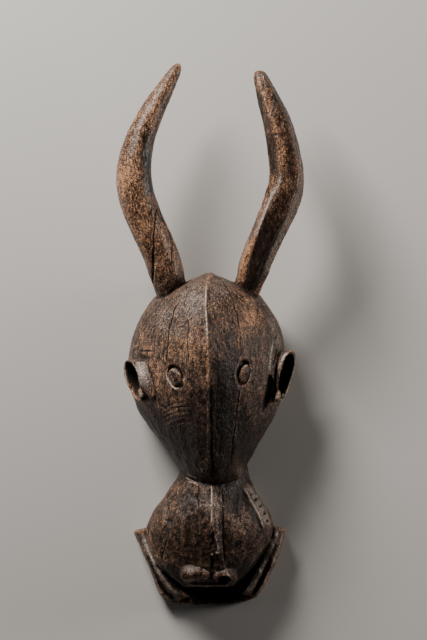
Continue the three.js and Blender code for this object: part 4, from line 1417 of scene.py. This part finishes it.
shade = total((grime_and_shade, -0.12), (soot_and_shade, -0.10))
light = maths("MINIMUM", dust_and_highlight, 1.0)
brown_part = total((flecks, 0.48), (strands, 0.2), (clouds, 0.27), (rings, 0.07))
brown_part = total((brown_part, 1), (worn, 0.09), (orange, 0.09), (light, 0.05), (shade, 1))
bare_part = total((chips, 0.54), (grit, 0.22), (clouds, 0.24))
bare_part = total((bare_part, 1), (worn, 0.07), (orange, 0.08), (light, -0.02), (shade, 1))
dusty_part = total((dust, 0.65), (scratches, 0.15), (clouds, 0.2), (dust_and_highlight, 0.13), (shade, 1.5))

body = mix(ramp(grit, 0.43, 0.58), SOOT_AND_SHADE_COLOUR, PATINA)
body = mix(ramp(brown_part, 0.47, 0.58), body, BROWN)
body = mix(ramp(dusty_part, 0.53, 0.66), body, GREY)
body = mix(ramp(bare_part, 0.525, 0.64), body, ORANGE)
body = mix(maths("MULTIPLY", ramp(rings, 0.35, 0.0), maths("SUBTRACT", 0.45, worn, True)), body, SOOT_AND_SHADE_COLOUR)
body = mix(maths("MULTIPLY", ramp(grit, 0.46, 0.36), 0.75), body, SOOT_AND_SHADE_COLOUR)
body = mix(maths("MULTIPLY", ramp(chips, 0.47, 0.37), maths("MULTIPLY", polish, 0.6)), body, SOOT_AND_SHADE_COLOUR)
# painted highlight: the strongest pale lines go nearly white
body = mix(ramp(dust_and_highlight, 1.2, 2.3), body, HIGHLIGHT_WHITE)
tone = maths("MULTIPLY_ADD", maths("POWER", ramp(speckle, 0.33, 0.67), 1.5), 2.4, third=0.15)
body = node("ShaderNodeVectorMath", {0: body, "Scale": tone}, operation="SCALE").outputs[0]
# painted shade as well as grime and soot: the hollows and the shaded patches darken towards nearly black
body = mix(maths("MAXIMUM", maths("MULTIPLY", grime_and_shade, 0.55), maths("MULTIPLY", soot_and_shade, 0.72)), body, SOOT_AND_SHADE_COLOUR)
dug_wood = mix(ramp(strands, 0.4, 0.6), RAW, BROWN)
body = mix(raw, body, mix(maths("MULTIPLY", grime_and_shade, 0.6), dug_wood, PATINA))
split = maths("MULTIPLY", ramp(maths("ABSOLUTE", crack_side), 1.5, 0.4), crack)
body = mix(split, body, SOOT_AND_SHADE_COLOUR)
# painted shade: the holes and shaded spots go black
body = mix(black_shade, body, SHADE_BLACK)
print("colours: 8")

# %% [markdown]
# ## The finished material
# The same patterns, as heights, break up the gloss: the patina shines on its crests, and dust, bare wood
# and cracks are dull.

# %% The finished material
BUMP_HEIGHT = 1.4  # mm of height for one whole step of the patterns
SHEEN = 0.31  # strength of the reflection, where 0.5 is that of a varnish with the usual index of 1.5

height = total((dents, 1.4), (ripples, 0.6), (strands, 0.2), (scratches, 0.3), (grit, 0.2), (split, -0.4))
roughness_of_form = maths("MULTIPLY_ADD", polish, -0.5, third=0.9)
heights = {"Height": height, "Distance": BUMP_HEIGHT * MM, "Strength": roughness_of_form}
bump = node("ShaderNodeBump", heights).outputs[0]
dusty = maths("MULTIPLY", ramp(dusty_part, 0.54, 0.64), 0.5)
dull = maths("MAXIMUM", maths("MAXIMUM", maths("MAXIMUM", raw, black_shade), split), dusty)
gloss = total((clouds, 0.25), (grit, 0.1), (dull, 0.6), (polish, -0.11), (0.28, 1))
surface = {"Base Color": body, "Roughness": gloss, "Normal": bump, "Specular IOR Level": SHEEN}
shader = node("ShaderNodeBsdfPrincipled", surface)
node("ShaderNodeOutputMaterial", {"Surface": shader.outputs[0]})
mask.data.materials.clear()
mask.data.materials.append(wood)
print("nodes in the material:", len(tree.nodes))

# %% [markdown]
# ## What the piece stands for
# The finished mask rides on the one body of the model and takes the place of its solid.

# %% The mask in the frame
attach(mask, "root")
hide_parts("mask")
print("piece:", mask.name)

# %% [markdown]
# ## Floor and light
# The photograph is lit like a sculpture: a broad light from above the head and a little to the left, and
# weaker ones from the right and the left that draw the edges. All stand low, so planes that face the
# camera stay dark and the crests shine. The floor is plain and pale.

# %% Studio
FLOOR_SIZE = 14.0  # metres
FLOOR_COLOUR = (0.62, 0.61, 0.59, 1)
FLOOR_ROUGHNESS = 0.8
DAYLIGHT = (0.8, 0.82, 0.85, 1)
DAYLIGHT_STRENGTH = 0.02  # weak, so that the lamps make the shadows
CORNERS = [(-0.5, -0.5, 0), (0.5, -0.5, 0), (0.5, 0.5, 0), (-0.5, 0.5, 0)]

floor_mesh = bpy.data.meshes.new("floor")
floor_mesh.from_pydata((np.array(CORNERS) * FLOOR_SIZE).tolist(), [], [(0, 1, 2, 3)])
floor = bpy.data.objects.new("floor", floor_mesh)
bpy.context.scene.collection.objects.link(floor)
pale_floor = bpy.data.materials.new("pale_floor")
pale_floor.use_nodes = True
paint = pale_floor.node_tree.nodes["Principled BSDF"]
paint.inputs["Base Color"].default_value = FLOOR_COLOUR
paint.inputs["Roughness"].default_value = FLOOR_ROUGHNESS
floor_mesh.materials.append(pale_floor)


def soft_light(name, place, target, size, power, colour):
    """A square light with its middle at a place, turned to face a target, in metres."""
    data = bpy.data.lights.new(name, "AREA")
    data.shape = "SQUARE"
    data.size = size
    data.energy = power
    data.color = colour
    lamp = bpy.data.objects.new(name, data)
    way = unit(np.array(target) - np.array(place))
    lamp.location = place
    lamp.rotation_euler = (math.acos(-way[2]), 0, math.atan2(way[1], way[0]) - math.pi / 2)
    bpy.context.scene.collection.objects.link(lamp)


MIDDLE = (0, -0.05, 0.1)
soft_light("key", (-0.9, 1.6, 1.2), MIDDLE, 0.8, 72, (1.0, 0.95, 0.90))
soft_light("right_edge", (1.8, 0.2, 0.5), MIDDLE, 0.5, 14, (1.0, 0.94, 0.88))
soft_light("left_edge", (-1.8, -0.25, 0.3), MIDDLE, 0.5, 4, (1.0, 0.92, 0.84))
world = bpy.context.scene.world or bpy.data.worlds.new("world")
bpy.context.scene.world = world
world.use_nodes = True
background = world.node_tree.nodes["Background"]
background.inputs["Color"].default_value = DAYLIGHT
background.inputs["Strength"].default_value = DAYLIGHT_STRENGTH
print("lights: 3")
